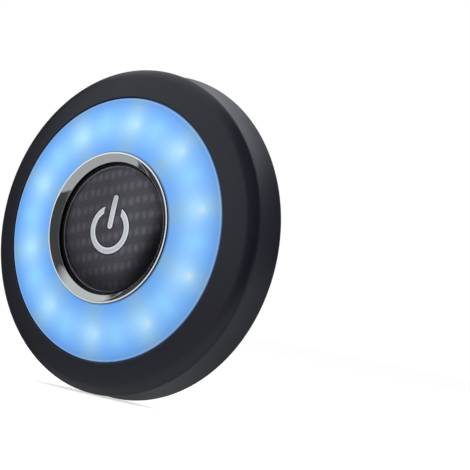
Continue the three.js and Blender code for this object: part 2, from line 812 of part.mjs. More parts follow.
function makeChromeBezel() {
  const skirtBottom = deckFront + seatGap;
  const brimBottom = diffuserInnerTop + seatGap;
  const crownInner = chromeRadius - chromeCrownWidth;
  const crownMiddle = [chromeRadius - chromeCrownRound, chromeTop - chromeCrownRound];
  const shell = revolve([
    [chromeSkirtInner, skirtBottom],
    [chromeSkirtRadius, skirtBottom],
    [chromeSkirtRadius, brimBottom],
    [chromeRadius, brimBottom],
    ...arc(crownMiddle[0], crownMiddle[1], chromeCrownRound, 0, quarterTurn, crownSteps),
    [crownInner, chromeTop - chromeCrownRound / 2],
    [chromeLipRadius + chromeCrownRound, chromeLipTop],
    [chromeLipRadius, chromeLipTop - chromeCrownRound],
    [chromeLipRadius, chromeLipTop - chromeLipThickness],
    [chromeSkirtInner, chromeLipTop - chromeLipThickness - chromeSkirtWall],
  ], largeRingFaces);
  addPiece('chrome_bezel', shell, chromed);
}

// The symbol's ring with a gap at the top, grown by a margin. The gap's sides run along the bar.
function ringOutline(margin) {
  const outer = symbolRingDiameter / 2 + margin;
  const inner = symbolRingDiameter / 2 - symbolStroke - margin;
  const halfGap = symbolGap / 2 - margin;
  const outerStart = topAngle + Math.asin(halfGap / outer);
  const innerStart = topAngle + Math.asin(halfGap / inner);
  const outerEnd = topAngle - Math.asin(halfGap / outer) + fullTurn;
  const innerEnd = topAngle - Math.asin(halfGap / inner) + fullTurn;
  const outline = new THREE.Shape();
  outline.moveTo(outer * Math.cos(outerStart), outer * Math.sin(outerStart));
  outline.absarc(0, 0, outer, outerStart, outerEnd, false);
  outline.lineTo(inner * Math.cos(innerEnd), inner * Math.sin(innerEnd));
  outline.absarc(0, 0, inner, innerEnd, innerStart, true);
  return outline;
}

// The symbol's bar with round ends, grown by a margin
function barOutline(margin) {
  const radius = symbolBarWidth / 2 + margin;
  const top = symbolBarTop - symbolBarWidth / 2;
  const bottom = symbolBarBottom + symbolBarWidth / 2;
  const outline = new THREE.Shape();
  outline.moveTo(radius, bottom);
  outline.lineTo(radius, top);
  outline.absarc(0, top, radius, 0, 2 * quarterTurn, false);
  outline.lineTo(-radius, bottom);
  outline.absarc(0, bottom, radius, 2 * quarterTurn, fullTurn, false);
  return outline;
}

function prism(outline, bottom, top, steps) {
  const geometry = new THREE.ExtrudeGeometry(outline, {
    depth: top - bottom,
    bevelEnabled: false,
    curveSegments: steps,
  });
  return geometry.translate(0, 0, bottom);
}

// The domed disc that is the button's face, of full thickness, from the axis out to the edge
function insertBody() {
  const edgeBottom = buttonEdgeTop - insertThickness;
  const roundRadius = buttonRadius - insertEdgeRound;
  const roundTop = domeHeight(buttonEdgeTop, buttonDomeHeight, buttonRadius, roundRadius);
  const edge = arc(roundRadius, roundTop - insertEdgeRound, insertEdgeRound, 0, quarterTurn, crownSteps);
  return revolve([
    ...dome(edgeBottom, buttonDomeHeight, buttonRadius, 0, buttonRadius),
    ...edge.slice(0, -1),
    ...dome(buttonEdgeTop, buttonDomeHeight, buttonRadius, roundRadius, 0),
  ], middleRingFaces);
}

function makeInsertAndSymbol() {
  const bottom = buttonEdgeTop - insertThickness;
  const top = buttonTop + cutOverrun;
  const face = insertBody();
  const inlays = [
    { name: 'power_ring_inlay', outline: ringOutline, steps: ringSymbolSteps },
    { name: 'power_bar_inlay', outline: barOutline, steps: barSymbolSteps },
  ];
  const windows = inlays.map((inlay) => prism(inlay.outline(seatGap), bottom - cutOverrun, top, inlay.steps));
  addPiece('carbon_insert', shape(face, [], windows), carbonLook);
  for (const inlay of inlays) {
    const column = toSolid(prism(inlay.outline(0), bottom, top, inlay.steps));
    addPiece(inlay.name, toGeometry(column.intersect(toSolid(face))), silverPaint);
  }
}

function makeButtonCap() {
  const skirtInner = buttonRadius - capSkirtWall;
  const undersideEdge = capEdgeTop - capThickness;
  const shell = revolve([
    ...dome(undersideEdge, buttonDomeHeight, buttonRadius, 0, skirtInner),
    [skirtInner, capRimBottom],
    [capFlangeRadius, capRimBottom],
    [capFlangeRadius, capFlangeTop],
    [buttonRadius, capFlangeTop],
    ...dome(capEdgeTop, buttonDomeHeight, buttonRadius, buttonRadius, 0),
  ], middleRingFaces);
  const pegBottom = deckFront - pegLength;
  const pegs = copies(pegPlaces, () => disc(pegDiameter / 2, pegBottom, capUnderside, screwFaces));
  addPiece('button_cap', shape(shell, pegs, []), capBlack);
}

function makeSwitch() {
  const boardRadius = deckOpeningDiameter / 2 - seatGap;
  const plungerTop = capUnderside - seatGap;
  const board = disc(boardRadius, trayFloorFront + seatGap, controlBoardFront, middleRingFaces);
  const boreBack = switchBack + switchFloorThickness;
  const plungerBottom = boreBack + buttonTravel + plungerEndGap;
  const bore = disc(plungerDiameter / 2 + seatGap, boreBack, switchFront + cutOverrun, screwFaces);
  const body = shape(block(switchSide, switchSide, switchBack, switchFront), [], [bore]);
  addPiece('control_board', board, boardGreen);
  addPiece('tact_switch', body, capBlack);
  addPiece('switch_plunger', disc(plungerDiameter / 2, plungerBottom, plungerTop, screwFaces), whitePlastic);
}

makeMountingDisc();
makeHousing();
makeRearCover();
makeRearScrews();
makeMagnets();
makeBatteryTray();
makeCellsAndContacts();
makeInnerFrame();
makeLedBoard();
makeLeds();
makeBoardScrews();
makeDiffuser();
makeChromeBezel();
makeButtonCap();
makeInsertAndSymbol();
makeSwitch();

// Stands the lamp up: its front faces -Y and the symbol's bar points up
lamp.rotation.x = quarterTurn;

export default lamp;
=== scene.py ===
"""Fine surfaces, finishes and a small studio for a round magnetic lamp.

The lamp's front faces -Y, its symbol points up, +Z, and the wall is the plane y = 0. An outline is a
chain of (radius, height) points, with the height counted from the wall. Lengths are in metres.
"""
import json
import math

import bmesh
import bpy
from mathutils import Matrix, Vector


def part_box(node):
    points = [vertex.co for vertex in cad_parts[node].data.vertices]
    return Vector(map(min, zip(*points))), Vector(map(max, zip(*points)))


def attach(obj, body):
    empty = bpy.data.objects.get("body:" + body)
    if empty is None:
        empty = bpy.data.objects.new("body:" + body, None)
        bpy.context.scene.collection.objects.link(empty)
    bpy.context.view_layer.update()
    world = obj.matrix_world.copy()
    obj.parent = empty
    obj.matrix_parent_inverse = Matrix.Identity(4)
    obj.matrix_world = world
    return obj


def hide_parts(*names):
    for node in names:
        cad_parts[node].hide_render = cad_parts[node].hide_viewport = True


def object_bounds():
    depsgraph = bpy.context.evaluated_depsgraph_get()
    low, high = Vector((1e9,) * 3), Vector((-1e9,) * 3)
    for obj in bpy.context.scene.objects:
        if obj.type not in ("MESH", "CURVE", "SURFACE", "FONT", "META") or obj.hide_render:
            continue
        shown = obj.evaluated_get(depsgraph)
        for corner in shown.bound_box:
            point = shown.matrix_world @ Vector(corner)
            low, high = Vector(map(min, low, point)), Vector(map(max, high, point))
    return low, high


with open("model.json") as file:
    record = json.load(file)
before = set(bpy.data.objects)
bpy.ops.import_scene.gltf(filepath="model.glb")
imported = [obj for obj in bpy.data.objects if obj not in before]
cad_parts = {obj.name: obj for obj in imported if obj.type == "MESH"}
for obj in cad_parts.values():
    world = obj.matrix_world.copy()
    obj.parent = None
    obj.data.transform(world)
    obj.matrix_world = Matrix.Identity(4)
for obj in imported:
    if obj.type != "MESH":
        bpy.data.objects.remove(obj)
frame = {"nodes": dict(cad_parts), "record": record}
cad_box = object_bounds()

bl_info = {
    "name": "Magnetic Lamp",
    "version": (1, 0, 0),
    "blender": (4, 5, 0),
    "location": "3D View > Sidebar > Lamp",
    "description": "Makes the lamp's fine surfaces, finishes and studio",
    "category": "Object",
}

MM = 0.001
QUARTER = math.pi / 2
TURN = math.tau
# Points nearer than this to each other become one.
MERGE = 0.001 * MM
# How far joined pieces reach into each other, and how far a cutter stands out of what it cuts.
JOIN, OVERLAP = 0.3 * MM, 1 * MM


def span(node):
    """Back height, front height and half width of a node of the packed model, in millimetres."""
    low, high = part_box(node)
    return -high.y / MM, -low.y / MM, high.x / MM


def length(name, description, millimetres):
    return bpy.props.FloatProperty(
        name=name, description=description, default=millimetres * MM, min=0, precision=5, unit="LENGTH"
    )


def angle(name, description, degrees):
    return bpy.props.FloatProperty(
        name=name, description=description, default=math.radians(degrees), subtype="ANGLE", unit="ROTATION"
    )


def share(name, description, default):
    return bpy.props.FloatProperty(
        name=name, description=description, default=default, min=0, subtype="FACTOR"
    )


def count(name, description, default):
    return bpy.props.IntProperty(name=name, description=description, default=default, min=1)


def colour(name, description, default):
    return bpy.props.FloatVectorProperty(
        name=name, description=description, default=default, min=0, max=1, size=3, subtype="COLOR"
    )


RIM_BACK, _, RIM_RADIUS = span("housing")
PAD_BACK, PAD_FRONT, PAD_RADIUS = span("adhesive_pad")
PLATE_BACK, PLATE_FRONT, PLATE_RADIUS = span("steel_mounting_plate")
SKIRT_BOTTOM, CHROME_TOP, CHROME_RADIUS = span("chrome_bezel")
_, BOARD_FRONT, _ = span("led_board")


class LampHousingSizes(bpy.types.PropertyGroup):
    """Sizes of the moulded housing."""

    rim_radius: length("Back rim radius", "Radius of the outside at the wall", RIM_RADIUS)
    back: length("Back", "Height of the back rim above the wall", RIM_BACK)
    taper: length("Side taper", "How much smaller the radius is at the shoulder", 0.5)
    bezel_width: length("Bezel width", "From the shoulder's outside in to the light ring", 12.3)
    edge: length("Bezel edge", "Height of the bezel's inner edge", 21.5)
    drop: length("Shoulder drop", "How far the side's top lies below the bezel's edge", 7.28)
    shoulder: length("Shoulder round", "Radius of the wide round that the bezel runs into", 7.65)
    corner: length("Corner round", "Radius of the tighter round that runs into the side", 2.6)
    corner_turn: angle("Corner turn", "How far the tighter round turns", 35)
    hollow: length("Side hollow", "How far the side is drawn in at its middle", 0.25)
    wall: length("Wall", "Wall thickness", 2.2)
    rim_width: length("Rim width", "Width of the thin rim round the rear cover", 1.0)
    rim_round: length("Rim round", "Round of the back rim's outer edge", 0.4)
    edge_round: length("Edge round", "Round of the bezel's inner edge", 0.35)
    edge_drop: length("Edge drop", "How far the rounded edge lies below the bezel's slope", 0.1)
    edge_thickness: length("Edge thickness", "Thickness of the bezel's inner edge", 1.4)
    rabbet: length("Rabbet", "Width of the step that holds the light ring's flange", 2.2)
    ledge: length("Ledge", "Height of the ledge that the rear cover meets", 3.7)
    boss_radius: length("Boss radius", "Radius of the four screw bosses", 3.7)
    boss_hole: length("Boss hole", "Radius of the bosses' screw holes", 1.6)
    boss_bottom: length("Boss bottom", "Height of the bosses' ends", 7.2)
    boss_reach: length("Boss reach", "How far the bosses reach into the bezel's wall", 0.4)
    key_angle: angle("Key angle", "Place of the key in the back seam", 248.4)
    key_width: length("Key width", "Width of the key", 2.4)
    key_depth: length("Key depth", "How far the key reaches in", 1.6)


class LampRingSizes(bpy.types.PropertyGroup):
    """Sizes of the milky ring and of the chromed ring."""

    outer: length("Outer radius", "Radius of the milky ring's face", 51.9)
    inner: length("Inner radius", "Radius of the milky ring's bore", 28.5)
    top: length("Inner top", "Height of the milky ring at the chromed ring", 25.3)
    bulge: length("Bulge", "How far the milky face stands above a straight slope", 0.25)
    thickness: length("Thickness", "Thickness of the milky wall", 1.8)
    flange: length("Flange radius", "Radius of the flange under the bezel", 54.1)
    flange_back: length("Flange back", "Height of the flange's back", 18.7)
    flange_front: length("Flange front", "Height of the flange's front", 19.8)
    foot: length("Foot", "Height of the collar's foot", SKIRT_BOTTOM)
    collar: length("Collar wall", "Wall of the collar round the chromed skirt", 1.5)
    chrome: length("Chrome radius", "Outer radius of the chromed ring", CHROME_RADIUS)
    chrome_top: length("Chrome top", "Height of the chromed crown", CHROME_TOP)
    crown: length("Crown width", "Width of the chromed crown", 0.62)
    bead: share("Crown bead", "Round of the crown's outer edge, as a share of its width", 0.24)
    lip: length("Lip radius", "Inner radius of the chromed ring", 26.15)
    lip_drop: length("Lip drop", "How far the bevel falls from crown to lip", 2.15)
    hollow: length("Bevel hollow", "How far the bevel is drawn in at its middle", 0.06)
    skirt: length("Skirt radius", "Outer radius of the chromed skirt", 28.2)
    skirt_wall: length("Skirt wall", "Wall of the chromed skirt", 0.7)
    outer_round: length("Outer round", "Round of the milky face's outer edge", 0.35)
    lip_round: length("Lip round", "Round of the chromed lip", 0.05)
    lip_height: length("Lip height", "Height of the chromed lip's inner face", 0.5)
    seat_drop: length("Seat drop", "From the milky ring's inner top down to the skirt's top", 0.35)
    step_in: length("Step in", "How far the chromed ring steps in beside its crown", 0.05)
    step_down: length("Step down", "How far it steps down there", 0.08)


class LampButtonSizes(bpy.types.PropertyGroup):
    """Sizes of the push button and its symbol."""

    radius: length("Button radius", "Radius of the button", 25.1)
    edge: length("Edge height", "Height of the button's edge", 22.4)
    rise: length("Dome rise", "How much the middle stands above the edge", 1.75)
    thickness: length("Face thickness", "Thickness of the carbon-look face", 1.0)
    edge_round: length("Edge round", "Round of the face's edge", 0.7)
    rim_start: length("Rim start", "Radius where the face begins to fall away", 20.5)
    rim_fall: length("Rim fall", "How much lower than the dome the face's edge lies", 0.45)
    groove: length("Groove radius", "Radius of the fine groove inside the edge", 23.6)
    groove_depth: length("Groove depth", "Depth of the fine groove", 0.1)
    groove_width: length("Groove width", "Half width of the fine groove", 0.22)
    cap_edge: length("Cap edge", "Height of the moulded cap's edge", 21.1)
    cap_wall: length("Cap wall", "Thickness of the moulded cap", 1.3)
    flange: length("Flange radius", "Radius of the flange under the chromed lip", 27.05)
    flange_back: length("Flange back", "Height of the flange's back", 19.6)
    flange_front: length("Flange front", "Height of the flange's front", 20.8)
    ring: length("Symbol radius", "Outer radius of the symbol's ring", 9.55)
    ring_drop: length("Ring drop", "How far the symbol's ring lies below the button's middle", 0.55)
    stroke: length("Stroke", "Width of the symbol's strokes", 2.4)
    gap: length("Gap", "Width of the gap in the symbol's ring", 8.6)
    bar_top: length("Bar top", "Top of the symbol's bar above the middle", 13.15)
    bar_low: length("Bar low", "How far the bar reaches below the middle", 0.3)
    relief: length("Relief", "How far the symbol stands out of the face", 0.08)
    print_depth: length("Print depth", "How far the symbol reaches into the face", 0.25)
    # Painted shade on the bar's print begins at this height.
    shade_start: length("Shade start", "Height on the bar where its print begins to darken", 6.5)
    skirt_wall: length("Cap skirt", "Wall of the cap's skirt", 1.5)
    peg: length("Peg radius", "Radius of a guide peg", 1.4)
    peg_back: length("Peg end", "Height of the pegs' ends", 13.1)
    peg_front: length("Peg root", "Height of the pegs' roots", 22.0)
    pegs_across: length("Pegs across", "Distance between two pegs side by side", 19.12)
    pegs_apart: length("Pegs apart", "Distance between the two pairs of pegs", 40.1)


class LampBackSizes(bpy.types.PropertyGroup):
    """Sizes of the rear cover, its screws and the mounting disc."""

    cover: length("Cover radius", "Radius of the rear cover", 63.75)
    back: length("Cover back", "Height of the cover's back", 1.4)
    front: length("Cover front", "Height of the cover's inner side", 3.4)
    recess: length("Recess radius", "Radius of the round recess", 36.7)
    floor_back: length("Recess floor", "Height of the recess floor", 2.8)
    floor_front: length("Floor front", "Height of the recess floor's inner side", 4.4)
    edge_round: length("Edge round", "Round of the cover's edge", 0.4)
    screw_circle: length("Screw circle", "Radius that the screws lie on", 57.0)
    well: length("Well radius", "Radius of a screw well", 3.7)
    well_outer: length("Well outside", "Outer radius of a screw well", 4.9)
    well_seat: length("Well seat", "Height of a well's floor", 5.5)
    well_front: length("Well front", "Height of a well's inner end", 6.9)
    screws: count("Screws", "Number of rear screws", 4)
    screw_angle: angle("First screw", "Place of the first rear screw", 45)
    head: length("Head radius", "Radius of a screw head", 2.45)
    head_back: length("Head top", "Height of a head's top above the wall", 3.5)
    head_height: length("Head height", "Height of a screw head", 1.7)
    head_dome: share("Head dome", "Share of a head's height that is domed", 0.55)
    shank: length("Shank radius", "Radius of a screw's shank", 1.25)
    shank_length: length("Shank length", "Length of a screw's shank", 8.0)
    slot_width: length("Slot width", "Width of the cross in a head", 0.8)
    slot_length: length("Slot length", "Length of the cross in a head", 3.2)
    slot_depth: length("Slot depth", "Depth of the cross in a head", 1.5)
    pad: length("Pad radius", "Radius of the adhesive pad", PAD_RADIUS)
    pad_front: length("Pad front", "Height of the pad's inner side", PAD_FRONT)
    plate: length("Plate radius", "Radius of the steel plate", PLATE_RADIUS)
    plate_back: length("Plate back", "Height of the plate's back", PLATE_BACK)
    plate_front: length("Plate front", "Height of the plate's front", PLATE_FRONT)
    pad_round: length("Pad round", "Round of the pad's edges", 0.25)
    plate_round: length("Plate round", "Round of the plate's edges", 0.2)
    mouth_round: length("Mouth round", "Round of the recess's and the wells' mouths", 0.25)
    thread: length("Thread pitch", "Pitch of the screws' threads", 0.45)
    root: share("Thread root", "Radius of the threads' root, as a share of the shank's", 0.8)
    tip: share("Point start", "Radius where the point begins, as a share of the shank's", 0.7)
    neck: length("Neck", "Length of a shank's plain part under the head", 0.4)
    point: length("Point", "Length of a shank's point", 1.0)
    head_turn: angle("Head turn", "How far each cross is turned", 20)
    screw_hole: length("Screw hole", "Radius of the holes under the heads", 1.6)
    notch_gap: length("Notch gap", "Gap round the housing's key", 0.3)
    collar_inner: length("Collar bore", "Inner radius of a magnet's collar", 4.8)
    collar_outer: length("Collar radius", "Outer radius of a magnet's collar", 5.7)
    collar_back: length("Collar root", "Height of the collars' roots", 3.6)
    collar_front: length("Collar end", "Height of the collars' ends", 7.0)
    posts: count("Posts", "Number of posts that clamp the inner frame", 6)
    post: length("Post radius", "Radius of a post", 2.2)
    post_back: length("Post root", "Height of the posts' roots", 3.1)
    post_front: length("Post end", "Height of the posts' ends", 14.4)
    post_circle: length("Post circle", "Radius that the posts lie on", 45.93)


class LampInnerSizes(bpy.types.PropertyGroup):
    """Sizes of what repeats inside the lamp."""

    pairs: count("LED pairs", "Pairs of a colour and a white LED", 10)
    led_circle: length("LED circle", "Radius that the LEDs lie on", 41.9)
    board_front: length("Board front", "Height of the light ring's board", BOARD_FRONT)
    colour_side: length("Colour LED", "Side of a colour LED", 5.0)
    colour_height: length("Colour LED height", "Height of a colour LED", 1.5)
    colour_dish: length("Colour LED dish", "Radius of its round dish", 2.0)
    white_side: length("White LED", "Side of a white LED", 3.5)
    white_height: length("White LED height", "Height of a white LED", 0.9)
    white_dish: length("White LED dish", "Radius of its round dish", 1.3)
    dish_depth: length("Dish depth", "Depth of an LED's dish", 0.35)
    gap: length("Gap", "Gap between a piece and what carries it", 0.3)
    led_round: length("LED round", "Round of the LEDs' edges", 0.1)
    board_screws: count("Board screws", "Number of screws in the light ring's board", 4)
    board_screw_circle: length("Board screw circle", "Radius that the board's screws lie on", 48.0)
    board_screw_head: length("Board screw head", "Radius of a board screw's head", 1.8)
    board_screw_side: length("Board screw side", "Height of the head's straight side", 0.5)
    board_screw_dome: length("Board screw dome", "Height of the head's dome", 0.8)
    board_screw_shank: length("Board screw shank", "Radius of a board screw's shank", 0.9)
    board_screw_length: length("Board screw length", "Length of a board screw's shank", 4.5)
    board_screw_point: length("Board screw point", "Length of the shank's point", 1.3)
    board_screw_cross: length("Board screw cross", "Length of the cross in the head", 2.2)
    board_screw_slot: length("Board screw slot", "Width of the cross, and its depth", 0.45)
    magnet_across: length("Magnets across", "Distance between two magnets side by side", 29.6)
    magnet_apart: length("Magnets apart", "Distance between the two pairs of magnets", 50.6)
    magnet_radius: length("Magnet radius", "Radius of a magnet", 4.5)
    magnet_back: length("Magnet back", "Height of a magnet's back", 4.7)
    magnet_height: length("Magnet height", "Thickness of a magnet", 3.0)
    cells: count("Cells", "Number of cells", 3)
    cell_spacing: length("Cell spacing", "Distance between two cells", 11.0)
    cell_radius: length("Cell radius", "Radius of a cell", 5.25)
    cell_length: length("Cell length", "Length of a cell with its raised end", 44.5)
    cell_axis: length("Cell axis", "Height of the cells' axes", 9.95)
    nub_radius: length("Raised end", "Radius of a cell's raised end", 1.9)
    nub_height: length("Raised end height", "Height of a cell's raised end", 0.8)
    tray_half: length("Tray half length", "Half the length of the tray's inside", 24.3)
    tab_side: length("Tab side", "Side of a contact tab", 6.6)
    tab_thickness: length("Tab thickness", "Thickness of a contact tab", 0.5)
    wire: length("Spring wire", "Diameter of the spring wire", 0.5)
    spring_wide: length("Spring wide end", "Radius of a spring's wide end", 3.5)
    spring_narrow: length("Spring narrow end", "Radius of a spring's narrow end", 2.2)
    spring_run: length("Spring length", "Length of a spring between its wire's middles", 1.9)
    spring_turns: bpy.props.FloatProperty(
        name="Spring turns", description="Turns of wire in a spring", default=1.5, min=0.5
    )
    magnet_round: length("Magnet round", "Round of the magnets' edges", 0.2)
    cell_round: length("Cell round", "Round of the cells' edges", 0.5)
    nub_round: length("Raised end round", "Round of the raised end's edge", 0.2)
    tab_round: length("Tab round", "Round of the tabs' edges", 0.15)


class LampColours(bpy.types.PropertyGroup):
    """Colours of the finishes and of the light."""

    housing: colour("Housing", "Soft-touch black", (0.0060, 0.0060, 0.0125))
    cover: colour("Rear cover", "Satin dark grey", (0.0780, 0.0840, 0.0920))
    pad: colour("Pad", "Grey violet foam", (0.1520, 0.1480, 0.1680))
    chrome: colour("Chrome", "Bright chromium", (0.5150, 0.5200, 0.5000))
    # Painted highlight: the crown is plated lighter than the bevel so that it shows as a bright line.
    crown: colour("Crown", "Polished crown of the chromed ring", (0.9500, 0.9600, 0.9500))
    carbon: colour("Carbon dark", "Carbon look between the raised tows", (0.0500, 0.0494, 0.0610))
    tow: colour("Carbon light", "Carbon look on the raised tows", (0.1120, 0.1095, 0.1320))
    symbol: colour("Symbol", "Satin silver print", (0.7000, 0.7400, 0.7700))
    milk: colour("Milk", "Milky plastic, seen under its own light", (0.0700, 0.1000, 0.1300))
    ring_edge: colour("Light at the edges", "Between two LEDs, at both edges", (0.060, 0.280, 0.790))
    ring_middle: colour("Light in the middle", "Between two LEDs, half way across", (0.215, 0.500, 0.930))
    ring_rim: colour("Light at the rim", "Just inside the bezel", (0.090, 0.200, 0.350))
    spot_edge: colour("Spot at the edges", "Over a colour LED, at both edges", (0.140, 0.340, 0.620))
    spot_middle: colour("Spot in the middle", "Over a colour LED", (0.310, 0.620, 0.930))
    patch: colour("Spot patch", "Soft bright patch over a colour LED", (0.420, 0.720, 0.950))
    spot_core: colour("Spot core", "The LED's own image in the milk", (0.760, 0.810, 0.620))
    glint: colour("White LED glint", "Over a white LED", (0.215, 0.610, 0.980))
    # Painted shade: a dark line on the chromed ring's outer edge, where the gap to the milky ring lies in
    # shadow.
    seam: colour("Chrome seam", "Dark line round the crown", (0.020, 0.030, 0.060))
    # Painted shade: the milky ring is darkened just outside the chromed ring.
    painted_chrome_foot_shade: colour("Light at the chrome", "Just outside the chromed ring", (0.020, 0.040, 0.080))
    rim_gleam: colour("Rim gleam", "Pale line just inside the bezel", (0.420, 0.560, 0.740))
    # Painted shade: a dark line where the milky ring meets the bezel, in the shadowed gap between them.
    painted_rim_gap_shade: colour("Rim seam", "Dark line where the ring meets the bezel", (0.004, 0.012, 0.045))
    # Painted shade on the carbon look: darker towards its lower right, its rim and its left.
    painted_cloth_shade: colour("Cloth shade", "Towards the carbon look's dark side", (0.002, 0.002, 0.003))
    lip: colour("Lit lip", "Bright line along the button's left edge", (0.340, 0.340, 0.360))
    # Painted shade: a dark line round the symbol's strokes and in the fine groove.
    fine_line: colour("Fine line", "Round the symbol and in the groove", (0.004, 0.004, 0.005))
    # Painted shade in the depth of the screw wells.
    well: colour("Well", "Depth of the screw wells", (0.003, 0.003, 0.004))
    moulding: colour("Inner moulding", "Button cap and tray", (0.012, 0.012, 0.014))
    frame: colour("Frame", "White inner frame", (0.780, 0.780, 0.790))
    zinc: colour("Zinc", "Steel mounting plate", (0.480, 0.500, 0.520))
    nickel: colour("Nickel", "Rear screws and contact tabs", (0.950, 0.920, 0.860))
    magnet: colour("Magnet", "Plating of the magnets", (0.580, 0.580, 0.570))
    wire: colour("Wire", "Drawn spring wire", (0.600, 0.610, 0.620))
    wire_dark: colour("Wire marks", "Between the drawn marks", (0.400, 0.410, 0.420))
    light_board: colour("Light ring's board", "White solder mask", (0.740, 0.750, 0.730))
    control_board: colour("Control board", "Green solder mask", (0.015, 0.110, 0.045))
    bare_pad: colour("Bare pads", "Tinned pads on the boards", (0.620, 0.600, 0.550))
    package: colour("LED package", "White moulding round the dish", (0.800, 0.800, 0.760))
    colour_phosphor: colour("Colour LED dish", "Clear filling over the chips", (0.740, 0.720, 0.550))
    white_phosphor: colour("White LED dish", "Yellow phosphor", (0.860, 0.620, 0.140))
    sleeve: colour("Cell sleeve", "Plain blue sleeve", (0.0440, 0.1090, 0.1950))
    sleeve_band: colour("Sleeve band", "Grey band on the sleeve", (0.420, 0.430, 0.440))
    cell_end: colour("Cell end", "Bare metal at a cell's ends", (0.620, 0.620, 0.600))


class LampStageSettings(bpy.types.PropertyGroup):
    """Camera, lamps and floor of the studio."""

    azimuth: angle("Azimuth", "Camera's place round the lamp, to the right of its front", 36.936)
    elevation: angle("Elevation", "Camera's height, below the horizon", -2.367)
    roll: angle("Roll", "Camera's turn about its own axis", 11.131)
    place: bpy.props.FloatVectorProperty(
        name="Camera place", description="Where the camera stands", size=3, subtype="TRANSLATION",
        unit="LENGTH", default=(0.50382, -0.613985, -0.025252),
    )
    lens: bpy.props.FloatProperty(
        name="Lens", description="Focal length on a 36 mm sensor", default=153.19, min=1, unit="CAMERA"
    )
    floor_colour: colour("Floor", "Pale floor", (0.66, 0.66, 0.66))
    floor_glow: share("Floor glow", "Share of white that the floor shows by itself", 0.62)
    fill: share("Fill", "Strength of the light from all sides", 0.55)
    walls: share("Walls", "What metal mirrors at eye level: a room with dark walls", 0.10)
    mirrored_floor: share("Mirrored floor", "What metal mirrors of the pale floor", 0.73)
    mirrored_back: share("Mirrored rear floor", "What metal mirrors of the floor behind the lamp", 0.42)
    mirrored_tint: colour("Mirrored tint", "Colour of what metal and gloss mirror", (0.92, 0.95, 1.0))
    window: share("Window", "What metal mirrors of the soft light in front", 0.95)


SETTINGS = {
    "lamp_housing": LampHousingSizes,
    "lamp_ring": LampRingSizes,
    "lamp_button": LampButtonSizes,
    "lamp_back": LampBackSizes,
    "lamp_inner": LampInnerSizes,
    "lamp_colours": LampColours,
    "lamp_stage": LampStageSettings,
}


# Node trees

def add(tree, kind, inputs=None, **settings):
    """Adds a node, sets it up and feeds its inputs with sockets or values."""
    made = tree.nodes.new(kind)
    made.location = (180 * len(tree.nodes), 0)
    for name, value in settings.items():
        setattr(made, name, value)
    for name, value in (inputs or {}).items():
        if isinstance(value, bpy.types.NodeSocket):
            tree.links.new(value, made.inputs[name])
        else:
            made.inputs[name].default_value = value
    return made


def maths(tree, operation, *values):
    inputs = dict(enumerate(values))
    return add(tree, "ShaderNodeMath", inputs, operation=operation).outputs[0]


def blend_colours(tree, factor, first, second, mode="MIX"):
    made = add(tree, "ShaderNodeMix", data_type="RGBA", blend_type=mode)
    for index, value in ((0, factor), (6, first), (7, second)):
        if isinstance(value, bpy.types.NodeSocket):
            tree.links.new(value, made.inputs[index])
        elif index:
            made.inputs[index].default_value = (*value, 1)
        else:
            made.inputs[index].default_value = value
    return made.outputs[2]


def ramp(tree, value, start, end, low=0.0, high=1.0, easing="LINEAR"):
    """Runs from low to high while the value runs from start to end."""
    return add(tree, "ShaderNodeMapRange", {
        "Value": value, "From Min": start, "From Max": end, "To Min": low, "To Max": high,
    }, interpolation_type=easing).outputs[0]


def bell(tree, value, middle, width):
    """A smooth hump: 1 where the value is at the middle, and small a width away."""
    away = maths(tree, "DIVIDE", maths(tree, "SUBTRACT", value, middle), width)
    return maths(tree, "EXPONENT", maths(tree, "MULTIPLY", maths(tree, "MULTIPLY", away, away), -1))


def new_group(name, kind, inputs, outputs):
    """An empty node group with named sockets, and its input node's outputs by name."""
    tree = bpy.data.node_groups.new(name, kind)
    for label, sort, value in inputs:
        socket = tree.interface.new_socket(label, in_out="INPUT", socket_type=f"NodeSocket{sort}")
        if value is not None:
            socket.default_value = value
    for label, sort in outputs:
        tree.interface.new_socket(label, in_out="OUTPUT", socket_type=f"NodeSocket{sort}")
    start = add(tree, "NodeGroupInput")
    return tree, start.outputs


def close_group(tree, results):
    add(tree, "NodeGroupOutput", results)
    return tree


def group(name, build):
    return bpy.data.node_groups.get(name) or build(name)


def effect(tree, name, build, inputs=None):
    """Adds a shared group of shader nodes, and gives its outputs by name."""
    return add(tree, "ShaderNodeGroup", inputs, node_tree=group(name, build)).outputs


def realized(tree, geometry, finish):
    """Ends a geometry tree: copies become real and take the finish."""
    real = add(tree, "GeometryNodeRealizeInstances", {"Geometry": geometry})
    done = add(tree, "GeometryNodeSetMaterial", {"Geometry": real.outputs[0], "Material": finish})
    return close_group(tree, {"Geometry": done.outputs[0]})


# Geometry node trees

